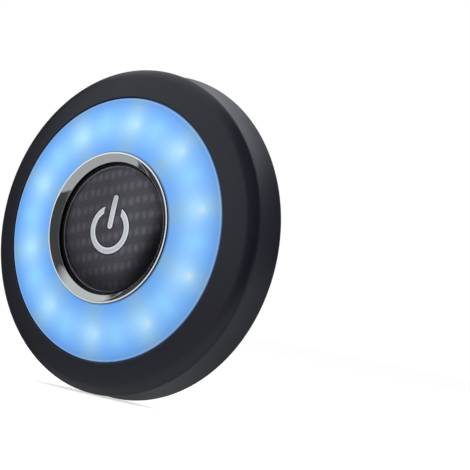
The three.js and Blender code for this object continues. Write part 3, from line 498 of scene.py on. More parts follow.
def turned_tree(name):
    """Turns a chain of (radius, 0, height) points about the lamp's axis."""
    tree, given = new_group(name, "GeometryNodeTree", [
        ("Geometry", "Geometry", None), ("Steps Round", "Int", 96), ("Finish", "Material", None),
    ], [("Geometry", "Geometry")])
    size = add(tree, "GeometryNodeAttributeDomainSize", {"Geometry": given["Geometry"]})
    points = size.outputs["Point Count"]
    across = maths(tree, "ADD", given["Steps Round"], 1)
    grid = add(tree, "GeometryNodeMeshGrid", {"Vertices X": points, "Vertices Y": across})
    index = add(tree, "GeometryNodeInputIndex").outputs[0]
    row = maths(tree, "FLOOR", maths(tree, "DIVIDE", maths(tree, "ADD", index, 0.5), across))
    step = maths(tree, "SUBTRACT", index, maths(tree, "MULTIPLY", row, across))
    turn = maths(tree, "MULTIPLY", maths(tree, "DIVIDE", step, given["Steps Round"]), TURN)
    place = add(tree, "GeometryNodeInputPosition").outputs[0]
    sample = add(tree, "GeometryNodeSampleIndex", data_type="FLOAT_VECTOR", domain="POINT")
    tree.links.new(given["Geometry"], sample.inputs["Geometry"])
    tree.links.new(place, sample.inputs["Value"])
    tree.links.new(row, sample.inputs["Index"])
    outline = add(tree, "ShaderNodeSeparateXYZ", {"Vector": sample.outputs["Value"]}).outputs
    spot = add(tree, "ShaderNodeCombineXYZ", {
        "X": maths(tree, "MULTIPLY", outline["X"], maths(tree, "COSINE", turn)),
        "Y": maths(tree, "MULTIPLY", outline["Z"], -1),
        "Z": maths(tree, "MULTIPLY", outline["X"], maths(tree, "SINE", turn)),
    })
    moved = add(tree, "GeometryNodeSetPosition", {
        "Geometry": grid.outputs["Mesh"], "Position": spot.outputs[0],
    })
    merged = add(tree, "GeometryNodeMergeByDistance", {"Geometry": moved.outputs[0], "Distance": MERGE})
    return realized(tree, merged.outputs[0], given["Finish"])


def copies_tree(name, extra, place_and_turn):
    """A tree that sets copies of its geometry at points and finishes them."""
    tree, given = new_group(name, "GeometryNodeTree", [
        ("Geometry", "Geometry", None), ("Count", "Int", 4), *extra, ("Finish", "Material", None),
    ], [("Geometry", "Geometry")])
    index = add(tree, "GeometryNodeInputIndex").outputs[0]
    place, turn = place_and_turn(tree, given, index)
    points = add(tree, "GeometryNodePoints", {"Count": given["Count"], "Position": place})
    spread = add(tree, "GeometryNodeInstanceOnPoints", {
        "Points": points.outputs[0], "Instance": given["Geometry"], "Rotation": turn,
    })
    return realized(tree, spread.outputs[0], given["Finish"])


def round_tree(name):
    """Copies on a circle about the lamp's axis, each turned with its place."""
    def place_and_turn(tree, given, index):
        step = maths(tree, "DIVIDE", maths(tree, "MULTIPLY", index, TURN), given["Count"])
        turn = maths(tree, "ADD", step, given["First Angle"])
        place = add(tree, "ShaderNodeCombineXYZ", {
            "X": maths(tree, "MULTIPLY", given["Circle Radius"], maths(tree, "COSINE", turn)),
            "Z": maths(tree, "MULTIPLY", given["Circle Radius"], maths(tree, "SINE", turn)),
        })
        facing = add(tree, "ShaderNodeCombineXYZ", {"Y": maths(tree, "MULTIPLY", turn, -1)})
        return place.outputs[0], facing.outputs[0]
    extra = [("Circle Radius", "Float", 0.0), ("First Angle", "Float", 0.0)]
    return copies_tree(name, extra, place_and_turn)


def pairs_tree(name):
    """Four copies, one at each corner of an upright rectangle."""
    def place_and_turn(tree, given, index):
        column = maths(tree, "SUBTRACT", maths(tree, "MODULO", index, 2), 0.5)
        row = maths(tree, "SUBTRACT", maths(tree, "FLOOR", maths(tree, "DIVIDE", index, 2)), 0.5)
        place = add(tree, "ShaderNodeCombineXYZ", {
            "X": maths(tree, "MULTIPLY", column, given["Across"]),
            "Z": maths(tree, "MULTIPLY", row, given["Apart"]),
        })
        return place.outputs[0], add(tree, "ShaderNodeCombineXYZ").outputs[0]
    return copies_tree(name, [("Across", "Float", 0.0), ("Apart", "Float", 0.0)], place_and_turn)


def stack_tree(name):
    """Copies above each other, every second one turned end for end."""
    def place_and_turn(tree, given, index):
        middle = maths(tree, "DIVIDE", maths(tree, "SUBTRACT", given["Count"], 1), 2)
        row = maths(tree, "SUBTRACT", index, middle)
        place = add(tree, "ShaderNodeCombineXYZ", {"Z": maths(tree, "MULTIPLY", row, given["Spacing"])})
        odd = maths(tree, "MODULO", index, 2)
        facing = add(tree, "ShaderNodeCombineXYZ", {"Y": maths(tree, "MULTIPLY", odd, math.pi)})
        return place.outputs[0], facing.outputs[0]
    return copies_tree(name, [("Spacing", "Float", 0.0)], place_and_turn)


def wire_tree(name):
    """A conical spring of round wire, wound along X."""
    tree, given = new_group(name, "GeometryNodeTree", [
        ("Geometry", "Geometry", None), ("Turns", "Float", 1.5), ("Wide Radius", "Float", 0.0),
        ("Narrow Radius", "Float", 0.0), ("Run", "Float", 0.0), ("Wire Radius", "Float", 0.0),
        ("Finish", "Material", None),
    ], [("Geometry", "Geometry")])
    path = add(tree, "GeometryNodeCurveSpiral", {
        "Resolution": 32, "Rotations": given["Turns"], "Start Radius": given["Wide Radius"],
        "End Radius": given["Narrow Radius"], "Height": given["Run"],
    })
    section = add(tree, "GeometryNodeCurvePrimitiveCircle", {
        "Resolution": 12, "Radius": given["Wire Radius"],
    })
    wire = add(tree, "GeometryNodeCurveToMesh", {
        "Curve": path.outputs[0], "Profile Curve": section.outputs[0], "Fill Caps": True,
    })
    laid = add(tree, "GeometryNodeTransform", {"Geometry": wire.outputs[0], "Rotation": (0, QUARTER, 0)})
    return realized(tree, laid.outputs[0], given["Finish"])


# Outlines and pieces

def arc(centre, radius, start, end, steps):
    """Points of an arc in an outline, both ends included."""
    angles = [start + (end - start) * step / steps for step in range(steps + 1)]
    return [(centre[0] + radius * math.cos(a), centre[1] + radius * math.sin(a)) for a in angles]


def bow(start, end, height, steps):
    """Points along a bowed line. The bow stands off to the left of the way it runs."""
    start, end = Vector(start), Vector(end)
    along = end - start
    left = Vector((-along.y, along.x)).normalized()
    points = []
    for step in range(steps + 1):
        part = step / steps
        points.append(tuple(start + along * part + left * height * math.sin(math.pi * part)))
    return points


def dome_height(edge, rise, radius, at):
    """Height of a dome at a distance from its axis."""
    sphere = (radius * radius + rise * rise) / (2 * rise)
    return edge + rise - sphere + math.sqrt(sphere * sphere - at * at)


def dome(edge, rise, radius, start, end, steps=20):
    """Points of a dome's outline from one radius to another."""
    radii = [start + (end - start) * step / steps for step in range(steps + 1)]
    return [(at, dome_height(edge, rise, radius, at)) for at in radii]


def new_object(name, mesh):
    made = bpy.data.objects.new(name, mesh)
    bpy.context.scene.collection.objects.link(made)
    return made


def run_tree(piece, tree, **values):
    """Runs a geometry node tree on a piece and keeps the result as a plain mesh."""
    modifier = piece.modifiers.new(tree.name, "NODES")
    modifier.node_group = tree
    for item in tree.interface.items_tree:
        label = item.name.lower().replace(" ", "_")
        if item.item_type == "SOCKET" and item.in_out == "INPUT" and label in values:
            modifier[item.identifier] = values.pop(label)
    if values:
        raise ValueError(f"{tree.name} has no input for {sorted(values)}")
    return settle(piece)


def settle(piece, crease=32):
    """Applies a piece's modifiers, merges what coincides, and turns its faces outwards."""
    bpy.context.view_layer.update()
    graph = bpy.context.evaluated_depsgraph_get()
    mesh = bpy.data.meshes.new_from_object(piece.evaluated_get(graph))
    piece.modifiers.clear()
    old, piece.data = piece.data, mesh
    bpy.data.meshes.remove(old)
    mesh.name = piece.name
    work = bmesh.new()
    work.from_mesh(mesh)
    bmesh.ops.remove_doubles(work, verts=work.verts, dist=MERGE)
    bmesh.ops.dissolve_degenerate(work, edges=work.edges, dist=MERGE / 2)
    bmesh.ops.recalc_face_normals(work, faces=work.faces)
    work.to_mesh(mesh)
    work.free()
    mesh.shade_smooth()
    mesh.set_sharp_from_angle(angle=math.radians(crease))
    if not mesh.polygons:
        raise RuntimeError(f"{piece.name} came out empty")
    return piece


def turned(name, outline, finish, steps=160, closed=True):
    """A piece turned from an outline that runs up its outer side."""
    chain = list(outline)
    if closed:
        chain.append(chain[0])
    mesh = bpy.data.meshes.new(name)
    mesh.from_pydata([(r, 0, h) for r, h in chain], [], [])
    tree = group("Turned Piece", turned_tree)
    return run_tree(new_object(name, mesh), tree, steps_round=steps, finish=finish)


def disc(name, radius, back, front, finish, rounding=0.0, steps=48):
    """A round bar or disc, its edges rounded a little."""
    if rounding:
        rim = [
            *arc((radius - rounding, back + rounding), rounding, -QUARTER, 0, 5),
            *arc((radius - rounding, front - rounding), rounding, 0, QUARTER, 5),
        ]
    else:
        rim = [(radius, back), (radius, front)]
    return turned(name, [(0, back), *rim, (0, front)], finish, steps, closed=False)


def block(name, middle, sides, finish):
    """A box about a middle, its sides along the axes."""
    work = bmesh.new()
    bmesh.ops.create_cube(work, size=1, matrix=Matrix.Translation(middle) @ Matrix.Diagonal((*sides, 1)))
    mesh = bpy.data.meshes.new(name)
    work.to_mesh(mesh)
    work.free()
    mesh.materials.append(finish)
    return new_object(name, mesh)


def softened(piece, width, segments=3):
    """Rounds a piece's sharp edges."""
    piece.modifiers.new("Soft Edges", "BEVEL")
    bevel = piece.modifiers["Soft Edges"]
    bevel.width, bevel.segments, bevel.limit_method = width, segments, "ANGLE"
    return settle(piece)


def combine(piece, others, operation):
    """Joins other pieces to a piece, or cuts them out of it."""
    for other in others:
        modifier = piece.modifiers.new(operation.title(), "BOOLEAN")
        modifier.operation, modifier.solver, modifier.object = operation, "EXACT", other
        settle(piece)
        bpy.data.objects.remove(other)
    return piece


def copied_round(piece, how_many, radius, first, finish):
    tree = group("Copies Round The Axis", round_tree)
    return run_tree(piece, tree, count=how_many, circle_radius=radius, first_angle=first, finish=finish)


def copied_in_pairs(piece, across, apart, finish):
    tree = group("Copies In Pairs", pairs_tree)
    return run_tree(piece, tree, count=4, across=across, apart=apart, finish=finish)


def set_in(piece, body, slot, *nodes):
    """Puts a piece on its body in place of the model's nodes."""
    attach(piece, body)
    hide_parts(*nodes)


def numbered(stem, how_many, digits=1):
    return [f"{stem}_{number:0{digits}d}" for number in range(1, how_many + 1)]


# Shader node groups

def object_place(tree):
    return add(tree, "ShaderNodeTexCoord").outputs["Object"]


def place_parts(tree):
    return add(tree, "ShaderNodeSeparateXYZ", {"Vector": object_place(tree)}).outputs


def distance(tree, across, up):
    squares = [maths(tree, "MULTIPLY", value, value) for value in (across, up)]
    return maths(tree, "SQRT", maths(tree, "ADD", *squares))


def polar_group(name):
    """Distance from an axis, by default the lamp's, and the angle round it from the symbol's top."""
    tree, given = new_group(name, "ShaderNodeTree", [("Aside", "Float", 0.0)],
                            [("Radius", "Float"), ("Angle", "Float")])
    place = place_parts(tree)
    sideways = maths(tree, "SUBTRACT", place["X"], given["Aside"])
    return close_group(tree, {
        "Radius": distance(tree, sideways, place["Z"]),
        "Angle": maths(tree, "ARCTAN2", sideways, place["Z"]),
    })


def round_place(tree, aside=0.0):
    return effect(tree, "Polar Place", polar_group, {"Aside": aside})


def grain_group(name):
    """Fine moulded grain, and a slow cloud for uneven gloss."""
    tree, given = new_group(name, "ShaderNodeTree", [
        ("Grain Size", "Float", 0.3 * MM), ("Cloud Size", "Float", 20 * MM),
    ], [("Height", "Float"), ("Cloud", "Float")])
    place = object_place(tree)
    noises = {}
    for label, size, detail in (("Height", given["Grain Size"], 2.0), ("Cloud", given["Cloud Size"], 3.0)):
        noise = add(tree, "ShaderNodeTexNoise", {
            "Vector": place, "Scale": maths(tree, "DIVIDE", 1, size), "Detail": detail,
        })
        noises[label] = noise.outputs[0]
    return close_group(tree, noises)


def moulded_grain(tree, grain, cloud):
    """Height of the grain and a slow cloud, from their sizes in millimetres."""
    return effect(tree, "Moulded Grain", grain_group, {"Grain Size": grain * MM, "Cloud Size": cloud * MM})


def turned_marks_group(name):
    """Fine rings left by turning or polishing about the lamp's axis."""
    tree, given = new_group(name, "ShaderNodeTree", [("Spacing", "Float", 0.2 * MM)], [("Marks", "Float")])
    ring = maths(tree, "DIVIDE", round_place(tree)["Radius"], given["Spacing"])
    rings = add(tree, "ShaderNodeTexNoise", {"W": ring, "Scale": 1.0, "Detail": 3.0},
                noise_dimensions="1D")
    return close_group(tree, {"Marks": rings.outputs[0]})


def turned_marks(tree, spacing):
    """Strength of the turned marks, from their spacing in millimetres."""
    return effect(tree, "Turned Marks", turned_marks_group, {"Spacing": spacing * MM})["Marks"]


def soft_spot_group(name):
    """A soft round spot at each of several places round the axis."""
    tree, given = new_group(name, "ShaderNodeTree", [
        ("Circle Radius", "Float", 41.9 * MM), ("Half Step", "Float", math.pi / 10),
        ("Start", "Float", 0.0), ("Width", "Float", 4 * MM), ("Reach", "Float", 4 * MM),
        ("Aside", "Float", 0.0),
    ], [("Spot", "Float"), ("Across", "Float")])
    polar = round_place(tree, given["Aside"])
    turned_from = maths(tree, "SUBTRACT", polar["Angle"], given["Start"])
    away = maths(tree, "PINGPONG", turned_from, given["Half Step"])
    across = maths(tree, "MULTIPLY", away, polar["Radius"])
    beside = bell(tree, across, 0, given["Width"])
    along = bell(tree, polar["Radius"], given["Circle Radius"], given["Reach"])
    return close_group(tree, {"Spot": maths(tree, "MULTIPLY", beside, along), "Across": beside})


def led_spots(tree, steps_on, width, reach, inwards=0.0, aside=0.0):
    """Soft spots over the colour LEDs, or half steps on from them. Lengths are in millimetres."""
    inner = bpy.context.scene.lamp_inner
    half_step = math.pi / inner.pairs
    return effect(tree, "Soft Spots", soft_spot_group, {
        "Circle Radius": inner.led_circle - inwards * MM, "Half Step": half_step,
        "Start": steps_on * half_step, "Width": width * MM, "Reach": reach * MM, "Aside": aside * MM,
    })


def twill_group(name):
    """Twill cloth: tows that rise in slanting rows, and the height of the cloth."""
    tree, given = new_group(name, "ShaderNodeTree", [
        ("Tow Pitch", "Float", 3.28 * MM), ("Row Spacing", "Float", 6.2 * MM),
        ("Row Slant", "Float", math.radians(16.5)), ("Row Start", "Float", 0.44),
        ("Lean", "Float", 0.08), ("Stray", "Float", 1.5 * MM), ("Weft Share", "Float", 0.6),
    ], [("Tow", "Float"), ("Weft", "Float"), ("Height", "Float")])
    wander = add(tree, "ShaderNodeTexNoise", {"Vector": object_place(tree), "Scale": 420.0, "Detail": 1.0})
    centred = add(tree, "ShaderNodeVectorMath", {0: wander.outputs["Color"], 1: (0.5, 0.5, 0.5)},
                  operation="SUBTRACT")
    strayed = add(tree, "ShaderNodeVectorMath", {0: centred.outputs[0], 3: given["Stray"]}, operation="SCALE")
    place = add(tree, "ShaderNodeVectorMath", {0: object_place(tree), 1: strayed.outputs[0]})
    place = add(tree, "ShaderNodeSeparateXYZ", {"Vector": place.outputs[0]}).outputs
    cosine, sine = maths(tree, "COSINE", given["Row Slant"]), maths(tree, "SINE", given["Row Slant"])
    along = maths(tree, "ADD", maths(tree, "MULTIPLY", place["X"], cosine),
                  maths(tree, "MULTIPLY", place["Z"], sine))
    across = maths(tree, "SUBTRACT", maths(tree, "MULTIPLY", place["Z"], cosine),
                   maths(tree, "MULTIPLY", place["X"], sine))
    row = maths(tree, "SUBTRACT", maths(tree, "DIVIDE", across, given["Row Spacing"]), given["Row Start"])
    lean = maths(tree, "MULTIPLY", across, given["Lean"])
    column = maths(tree, "DIVIDE", maths(tree, "SUBTRACT", along, lean), given["Tow Pitch"])
    row_wave, column_wave, weft_wave = (
        maths(tree, "COSINE", maths(tree, "MULTIPLY", counted, waves * TURN))
        for counted, waves in ((row, 1), (column, 1), (row, 4))
    )
    raised = ramp(tree, row_wave, -0.55, 1)
    bead = ramp(tree, column_wave, -1.8, 1)
    tow = maths(tree, "MULTIPLY", raised, bead)
    sunk = maths(tree, "SUBTRACT", 1, raised)
    weft = maths(tree, "MULTIPLY", sunk, maths(tree, "MULTIPLY_ADD", weft_wave, 0.06, 0.42))
    height = maths(tree, "ADD", tow, maths(tree, "MULTIPLY", weft, given["Weft Share"]))
    return close_group(tree, {"Tow": tow, "Weft": weft, "Height": height})


def symbol_outline_group(name):
    """A fine line just outside the strokes of the symbol."""
    tree, given = new_group(name, "ShaderNodeTree", [
        ("Ring Middle", "Float", 8.4 * MM), ("Half Stroke", "Float", 1.2 * MM),
        ("Half Gap", "Float", 4.3 * MM), ("Bar Top", "Float", 13.1 * MM), ("Bar Low", "Float", -0.3 * MM),
        ("Ring Drop", "Float", 0.55 * MM), ("Line Width", "Float", 0.5 * MM),
    ], [("Line", "Float")])
    place = place_parts(tree)
    aside = maths(tree, "ABSOLUTE", place["X"])
    from_middle = distance(tree, aside, maths(tree, "ADD", place["Z"], given["Ring Drop"]))

    def line(off_middle):
        outside = maths(tree, "SUBTRACT", off_middle, given["Half Stroke"])
        return bell(tree, outside, 0, given["Line Width"])

    in_gap = maths(tree, "MULTIPLY", maths(tree, "LESS_THAN", aside, given["Half Gap"]),
                   maths(tree, "GREATER_THAN", place["Z"], 0))
    ring = line(maths(tree, "ABSOLUTE", maths(tree, "SUBTRACT", from_middle, given["Ring Middle"])))
    ring = maths(tree, "MULTIPLY", ring, maths(tree, "SUBTRACT", 1, in_gap))
    top = maths(tree, "SUBTRACT", given["Bar Top"], given["Half Stroke"])
    low = maths(tree, "ADD", given["Bar Low"], given["Half Stroke"])
    inside = maths(tree, "MINIMUM", maths(tree, "MAXIMUM", place["Z"], low), top)
    from_bar = distance(tree, aside, maths(tree, "SUBTRACT", place["Z"], inside))
    return close_group(tree, {"Line": maths(tree, "MAXIMUM", ring, line(from_bar))})


def symbol_outline(tree, button):
    return effect(tree, "Symbol Outline", symbol_outline_group, {
        "Ring Middle": button.ring - button.stroke / 2, "Half Stroke": button.stroke / 2,
        "Half Gap": button.gap / 2, "Bar Top": button.bar_top, "Bar Low": -button.bar_low,
        "Ring Drop": button.ring_drop,
    })["Line"]


# Finishes

def scaled(tint, factor):
    return tuple(min(1, value * factor) for value in tint)


def new_finish(name, **constants):
    """A material with its surface node, and constants set on that node's own sockets."""
    finish = bpy.data.materials.new(name)
    finish.use_nodes = True
    tree = finish.node_tree
    surface = tree.nodes["Principled BSDF"]
    for label, value in constants.items():
        surface.inputs[label.replace("_", " ").title().replace("Ior", "IOR")].default_value = value
    return finish, tree, surface


def coloured(tree, surface, tint):
    tree.links.new(tint, surface.inputs["Base Color"])


def bumped(tree, surface, height, strength, depth):
    """Lets a surface rise and fall with a height, by a depth in millimetres."""
    bump = add(tree, "ShaderNodeBump", {"Height": height, "Strength": strength, "Distance": depth * MM})
    tree.links.new(bump.outputs[0], surface.inputs["Normal"])


def varied(tree, surface, value, low, high):
    """Roughness that follows a noise, whose values lie about a half."""
    tree.links.new(ramp(tree, value, 0.3, 0.7, low, high), surface.inputs["Roughness"])


def moulded(name, tint, roughness, grain=0.3, depth=0.02, tone=0.12, fleck=0.0, **constants):
    """Moulded plastic with fine grain, perhaps flecked, and slightly uneven gloss."""
    finish, tree, surface = new_finish(name, **constants)
    texture = moulded_grain(tree, grain, 20)
    base = blend_colours(tree, texture["Cloud"], scaled(tint, 1 - tone), scaled(tint, 1 + tone))
    flecks = ramp(tree, texture["Height"], 0.35, 0.65, 0, fleck)
    coloured(tree, surface, blend_colours(tree, flecks, base, scaled(tint, 0.3)))
    varied(tree, surface, texture["Cloud"], roughness - 0.04, roughness + 0.04)
    bumped(tree, surface, texture["Height"], 0.5, depth)
    return finish


def cover_finish(name):
    """Satin flecked plastic, with painted shade in the depth of the screw wells."""
    tints, back = bpy.context.scene.lamp_colours, bpy.context.scene.lamp_back.back
    finish = moulded(name, tints.cover, 0.5, grain=0.5, depth=0.03, fleck=0.45)
    tree = finish.node_tree
    base = tree.nodes["Principled BSDF"].inputs["Base Color"]
    plain = base.links[0].from_socket
    # Painted shade: the cover darkens with depth into the screw wells.
    sunk = ramp(tree, place_parts(tree)["Y"], -back - 0.2 * MM, -back - 1.2 * MM, 0, 0.93)
    tree.links.new(blend_colours(tree, sunk, plain, tints.well), base)
    return finish


def metal(name, tint, roughness, spacing=0.15, depth=0.002):
    """Bright metal with fine turned marks."""
    finish, tree, surface = new_finish(name, metallic=1.0)
    marks = turned_marks(tree, spacing)
    coloured(tree, surface, blend_colours(tree, marks, scaled(tint, 0.93), tint))
    varied(tree, surface, marks, roughness * 0.8, roughness * 1.2)
    bumped(tree, surface, marks, 0.3, depth)
    return finish


def chrome_finish(name):
    """Bright plating with fine turned marks, a painted highlight on the crown and painted shade round it."""
    tints, ring = bpy.context.scene.lamp_colours, bpy.context.scene.lamp_ring
    finish, tree, surface = new_finish(name, metallic=1.0)
    marks = turned_marks(tree, 0.3)
    radius = round_place(tree)["Radius"]
    inside = ring.chrome - ring.crown
    # Painted highlight: the crown takes a lighter colour than the bevel.
    crown = ramp(tree, radius, inside - 0.05 * MM, inside + 0.05 * MM)
    bevel = blend_colours(tree, marks, scaled(tints.chrome, 0.94), tints.chrome)
    plated = blend_colours(tree, crown, bevel, tints.crown)
    # Painted shade on the crown's outer edge, where the gap to the milky ring lies in shadow.
    seam = ramp(tree, radius, ring.chrome - 0.06 * MM, ring.chrome - 0.02 * MM)
    coloured(tree, surface, blend_colours(tree, seam, plated, tints.seam))
    varied(tree, surface, marks, 0.04, 0.06)
    bumped(tree, surface, marks, 0.3, 0.0004)
    return finish


def milk_finish(name):
    """Milky plastic over twenty LEDs: blue light, whiter over each colour LED, with painted shade lines at
    the chromed ring and at the bezel, and painted shade towards the lower right.
    """
    tints, ring = bpy.context.scene.lamp_colours, bpy.context.scene.lamp_ring
    finish, tree, surface = new_finish(name, emission_strength=1.04, specular_ior_level=0.35)
    grain = moulded_grain(tree, 0.5, 15)
    coloured(tree, surface, blend_colours(tree, grain["Cloud"], scaled(tints.milk, 0.85), tints.milk))
    varied(tree, surface, grain["Cloud"], 0.33, 0.43)
    bumped(tree, surface, grain["Height"], 0.3, 0.006)
    radius, place = round_place(tree)["Radius"], place_parts(tree)

    def band(under, tint, start, end, low, high, easing="SMOOTHSTEP"):
        return blend_colours(tree, ramp(tree, radius, start, end, low, high, easing), under, tint)

    def line(under, tint, middle, width, strength):
        shown = maths(tree, "MULTIPLY", bell(tree, radius, middle, width), strength)
        return blend_colours(tree, shown, under, tint)

    base = blend_colours(tree, bell(tree, radius, 40.6 * MM, 7.4 * MM), tints.ring_edge, tints.ring_middle)
    over = blend_colours(tree, bell(tree, radius, 41.3 * MM, 6.6 * MM), tints.spot_edge, tints.spot_middle)
    wide = led_spots(tree, 0, width=5.3, reach=100, aside=0.9)["Across"]
    glow = blend_colours(tree, wide, base, over)
    uneven = add(tree, "ShaderNodeTexNoise", {"Vector": object_place(tree), "Scale": 55.0, "Detail": 1.0})
    clearer = ramp(tree, place["X"], -30 * MM, 15 * MM, 0.12, 0.7)
    for tint, strength, spots in (
        (tints.glint, 0.6, led_spots(tree, 1, width=3.2, reach=4.2)),
        (tints.patch, 0.5, led_spots(tree, 0, width=3.2, reach=3.2, inwards=0.3, aside=1.3)),
        (tints.spot_core, maths(tree, "MULTIPLY", uneven.outputs[0], clearer),
         led_spots(tree, 0, width=1.5, reach=1.5, inwards=0.7, aside=2.9)),
    ):
        glow = blend_colours(tree, maths(tree, "MULTIPLY", spots["Spot"], strength), glow, tint)
    glow = band(glow, tints.ring_rim, ring.outer - 4.4 * MM, ring.outer - 0.5 * MM, 0, 0.3)
    # Painted shade on the milk where it meets the chromed ring.
    glow = band(glow, tints.painted_chrome_foot_shade, ring.chrome, ring.chrome + 0.9 * MM, 0.75, 0, "SMOOTHERSTEP")
    glow = line(glow, tints.rim_gleam, ring.outer - 0.55 * MM, 0.15 * MM, 0.4)
    # Painted shade in the gap between the milky ring and the bezel.
    glow = band(glow, tints.painted_rim_gap_shade, ring.outer - 0.28 * MM, ring.outer - 0.04 * MM, 0, 0.92)
    # Painted shade: the glow dims towards the lower right.
    lower_right = maths(tree, "MULTIPLY_ADD", place["Z"], -0.6, place["X"])
    painted_dimming = ramp(tree, lower_right, -40 * MM, 55 * MM, 0, 0.12)
    tree.links.new(blend_colours(tree, painted_dimming, glow, (0, 0, 0)), surface.inputs["Emission Color"])
    return finish


def carbon_finish(name):
    """Twill carbon look under clear lacquer, with painted shade towards its lower right, its rim and its
    left, a painted highlight along its left edge and painted shade lines in the groove and round the symbol.
    """
    tints, button = bpy.context.scene.lamp_colours, bpy.context.scene.lamp_button
    finish, tree, surface = new_finish(name, coat_roughness=0.12, specular_ior_level=0.0)
    twill = effect(tree, "Twill Cloth", twill_group)
    grain = moulded_grain(tree, 0.25, 6)
    radius, place = round_place(tree)["Radius"], place_parts(tree)
    lit = maths(tree, "ADD", twill["Tow"], maths(tree, "MULTIPLY", twill["Weft"], 0.35))
    lit = maths(tree, "MULTIPLY", lit, maths(tree, "MULTIPLY_ADD", grain["Cloud"], 1.6, 0.2))
    lit = add(tree, "ShaderNodeClamp", {"Value": lit}).outputs[0]
    cloth = blend_colours(tree, lit, tints.carbon, tints.tow)
    # Painted shade: the carbon look darkens towards its lower right, towards its rim and towards its left.
    lower_right = maths(tree, "MULTIPLY_ADD", place["Z"], -0.45, place["X"])
    towards_rim = maths(tree, "MULTIPLY_ADD", place["Z"], -0.28, radius)
    for value, start, end, darkest in (
        (lower_right, 15, 25, 0.92), (towards_rim, 17, 28, 0.7), (place["X"], 8, -8, 0.3),
    ):
        shade = ramp(tree, value, start * MM, end * MM, 0, darkest, "SMOOTHSTEP")
        cloth = blend_colours(tree, shade, cloth, tints.painted_cloth_shade)
    # Painted highlight: a bright line along the button's left edge.
    lip = bell(tree, radius, button.radius - 0.42 * MM, 0.18 * MM)
    left_side = ramp(tree, place["X"], 10 * MM, -12 * MM)
    cloth = blend_colours(tree, maths(tree, "MULTIPLY", lip, left_side), cloth, tints.lip)
    # Painted shade: dark lines in the fine groove and round the raised symbol.
    groove = bell(tree, radius, button.groove, 0.25 * MM)
    cloth = blend_colours(tree, maths(tree, "MULTIPLY", groove, 0.35), cloth, tints.fine_line)
    painted_shade_round_print = maths(tree, "MULTIPLY", symbol_outline(tree, button), 0.95)
    coloured(tree, surface, blend_colours(tree, painted_shade_round_print, cloth, tints.fine_line))
    tree.links.new(ramp(tree, place["X"], 12 * MM, 22 * MM, 0.5, 0.12), surface.inputs["Coat Weight"])
    varied(tree, surface, lit, 0.5, 0.42)
    height = maths(tree, "ADD", twill["Height"], maths(tree, "MULTIPLY", grain["Height"], 0.1))
    bumped(tree, surface, height, 0.3, 0.06)
    return finish


def symbol_finish(name):
    """Satin silver print, with a painted highlight along its edges and painted shade towards the bar's top.
    """
    tints, button = bpy.context.scene.lamp_colours, bpy.context.scene.lamp_button
    finish, tree, surface = new_finish(name, metallic=0.35)
    grain = moulded_grain(tree, 0.12, 6)
    face = blend_colours(tree, grain["Cloud"], scaled(tints.symbol, 0.78), tints.symbol)
    # Painted highlight along the print's edges.
    face = blend_colours(tree, symbol_outline(tree, button), face, scaled(tints.symbol, 1.25))
    # Painted shade towards the top of the bar.
    upper = ramp(tree, place_parts(tree)["Z"], button.shade_start, button.bar_top, 0, 0.55)
    coloured(tree, surface, blend_colours(tree, upper, face, scaled(tints.symbol, 0.5)))
    varied(tree, surface, grain["Cloud"], 0.32, 0.44)
    bumped(tree, surface, grain["Height"], 0.4, 0.005)
    return finish


def board_finish(name, tint):
    """Solder mask with faint copper runs under it and small bare pads."""
    tints = bpy.context.scene.lamp_colours
    finish, tree, surface = new_finish(name, specular_ior_level=0.5)
    varied(tree, surface, moulded_grain(tree, 0.2, 8)["Cloud"], 0.36, 0.48)
    cells = add(tree, "ShaderNodeTexVoronoi", {"Vector": object_place(tree), "Scale": 260.0},
                distance="CHEBYCHEV")
    from_cell = cells.outputs["Distance"]
    runs, pads = ramp(tree, from_cell, 0.38, 0.46), ramp(tree, from_cell, 0.05, 0.09, 1, 0)
    lighter = tuple(min(1, value * 1.18 + 0.01) for value in tint)
    base = blend_colours(tree, runs, tint, lighter)
    coloured(tree, surface, blend_colours(tree, pads, base, tints.bare_pad))
    bumped(tree, surface, runs, 0.3, 0.03)
    return finish


def led_finish(name, steps_on, dish, phosphor):
    """A white package with a round dish of phosphor."""
    tints = bpy.context.scene.lamp_colours
    finish, tree, surface = new_finish(name, coat_weight=0.3)
    mask = ramp(tree, led_spots(tree, steps_on, dish / MM, dish / MM)["Spot"], 0.34, 0.4)
    coloured(tree, surface, blend_colours(tree, mask, tints.package, phosphor))
    varied(tree, surface, mask, 0.3, 0.5)
    bumped(tree, surface, mask, 0.2, 0.02)
    return finish


def cell_finish(name):
    """A plain sleeve with one grey band, and bare metal at both ends."""
    tints, inner = bpy.context.scene.lamp_colours, bpy.context.scene.lamp_inner
    finish, tree, surface = new_finish(name, coat_weight=0.6, coat_roughness=0.15)
    along = place_parts(tree)["X"]
    end = maths(tree, "GREATER_THAN", maths(tree, "ABSOLUTE", along), inner.cell_length / 2 - 1.6 * MM)
    band = maths(tree, "MULTIPLY", bell(tree, along, 14 * MM, 0.8 * MM), 0.6)
    sleeve = blend_colours(tree, band, tints.sleeve, tints.sleeve_band)
    coloured(tree, surface, blend_colours(tree, end, sleeve, tints.cell_end))
    tree.links.new(end, surface.inputs["Metallic"])
    marks = add(tree, "ShaderNodeTexNoise", {"Vector": object_place(tree), "Scale": 400.0}).outputs[0]
    varied(tree, surface, marks, 0.25, 0.4)
    bumped(tree, surface, marks, 0.2, 0.01)
    return finish


def wire_finish(name):
    """Drawn steel wire and small plated parts."""
    tints = bpy.context.scene.lamp_colours
    finish, tree, surface = new_finish(name, metallic=1.0)
    drawn = add(tree, "ShaderNodeTexNoise", {
        "Vector": object_place(tree), "Scale": 900.0, "Detail": 4.0,
    }).outputs[0]
    coloured(tree, surface, blend_colours(tree, drawn, tints.wire_dark, tints.wire))
    varied(tree, surface, drawn, 0.2, 0.38)
    bumped(tree, surface, drawn, 0.3, 0.004)
    return finish


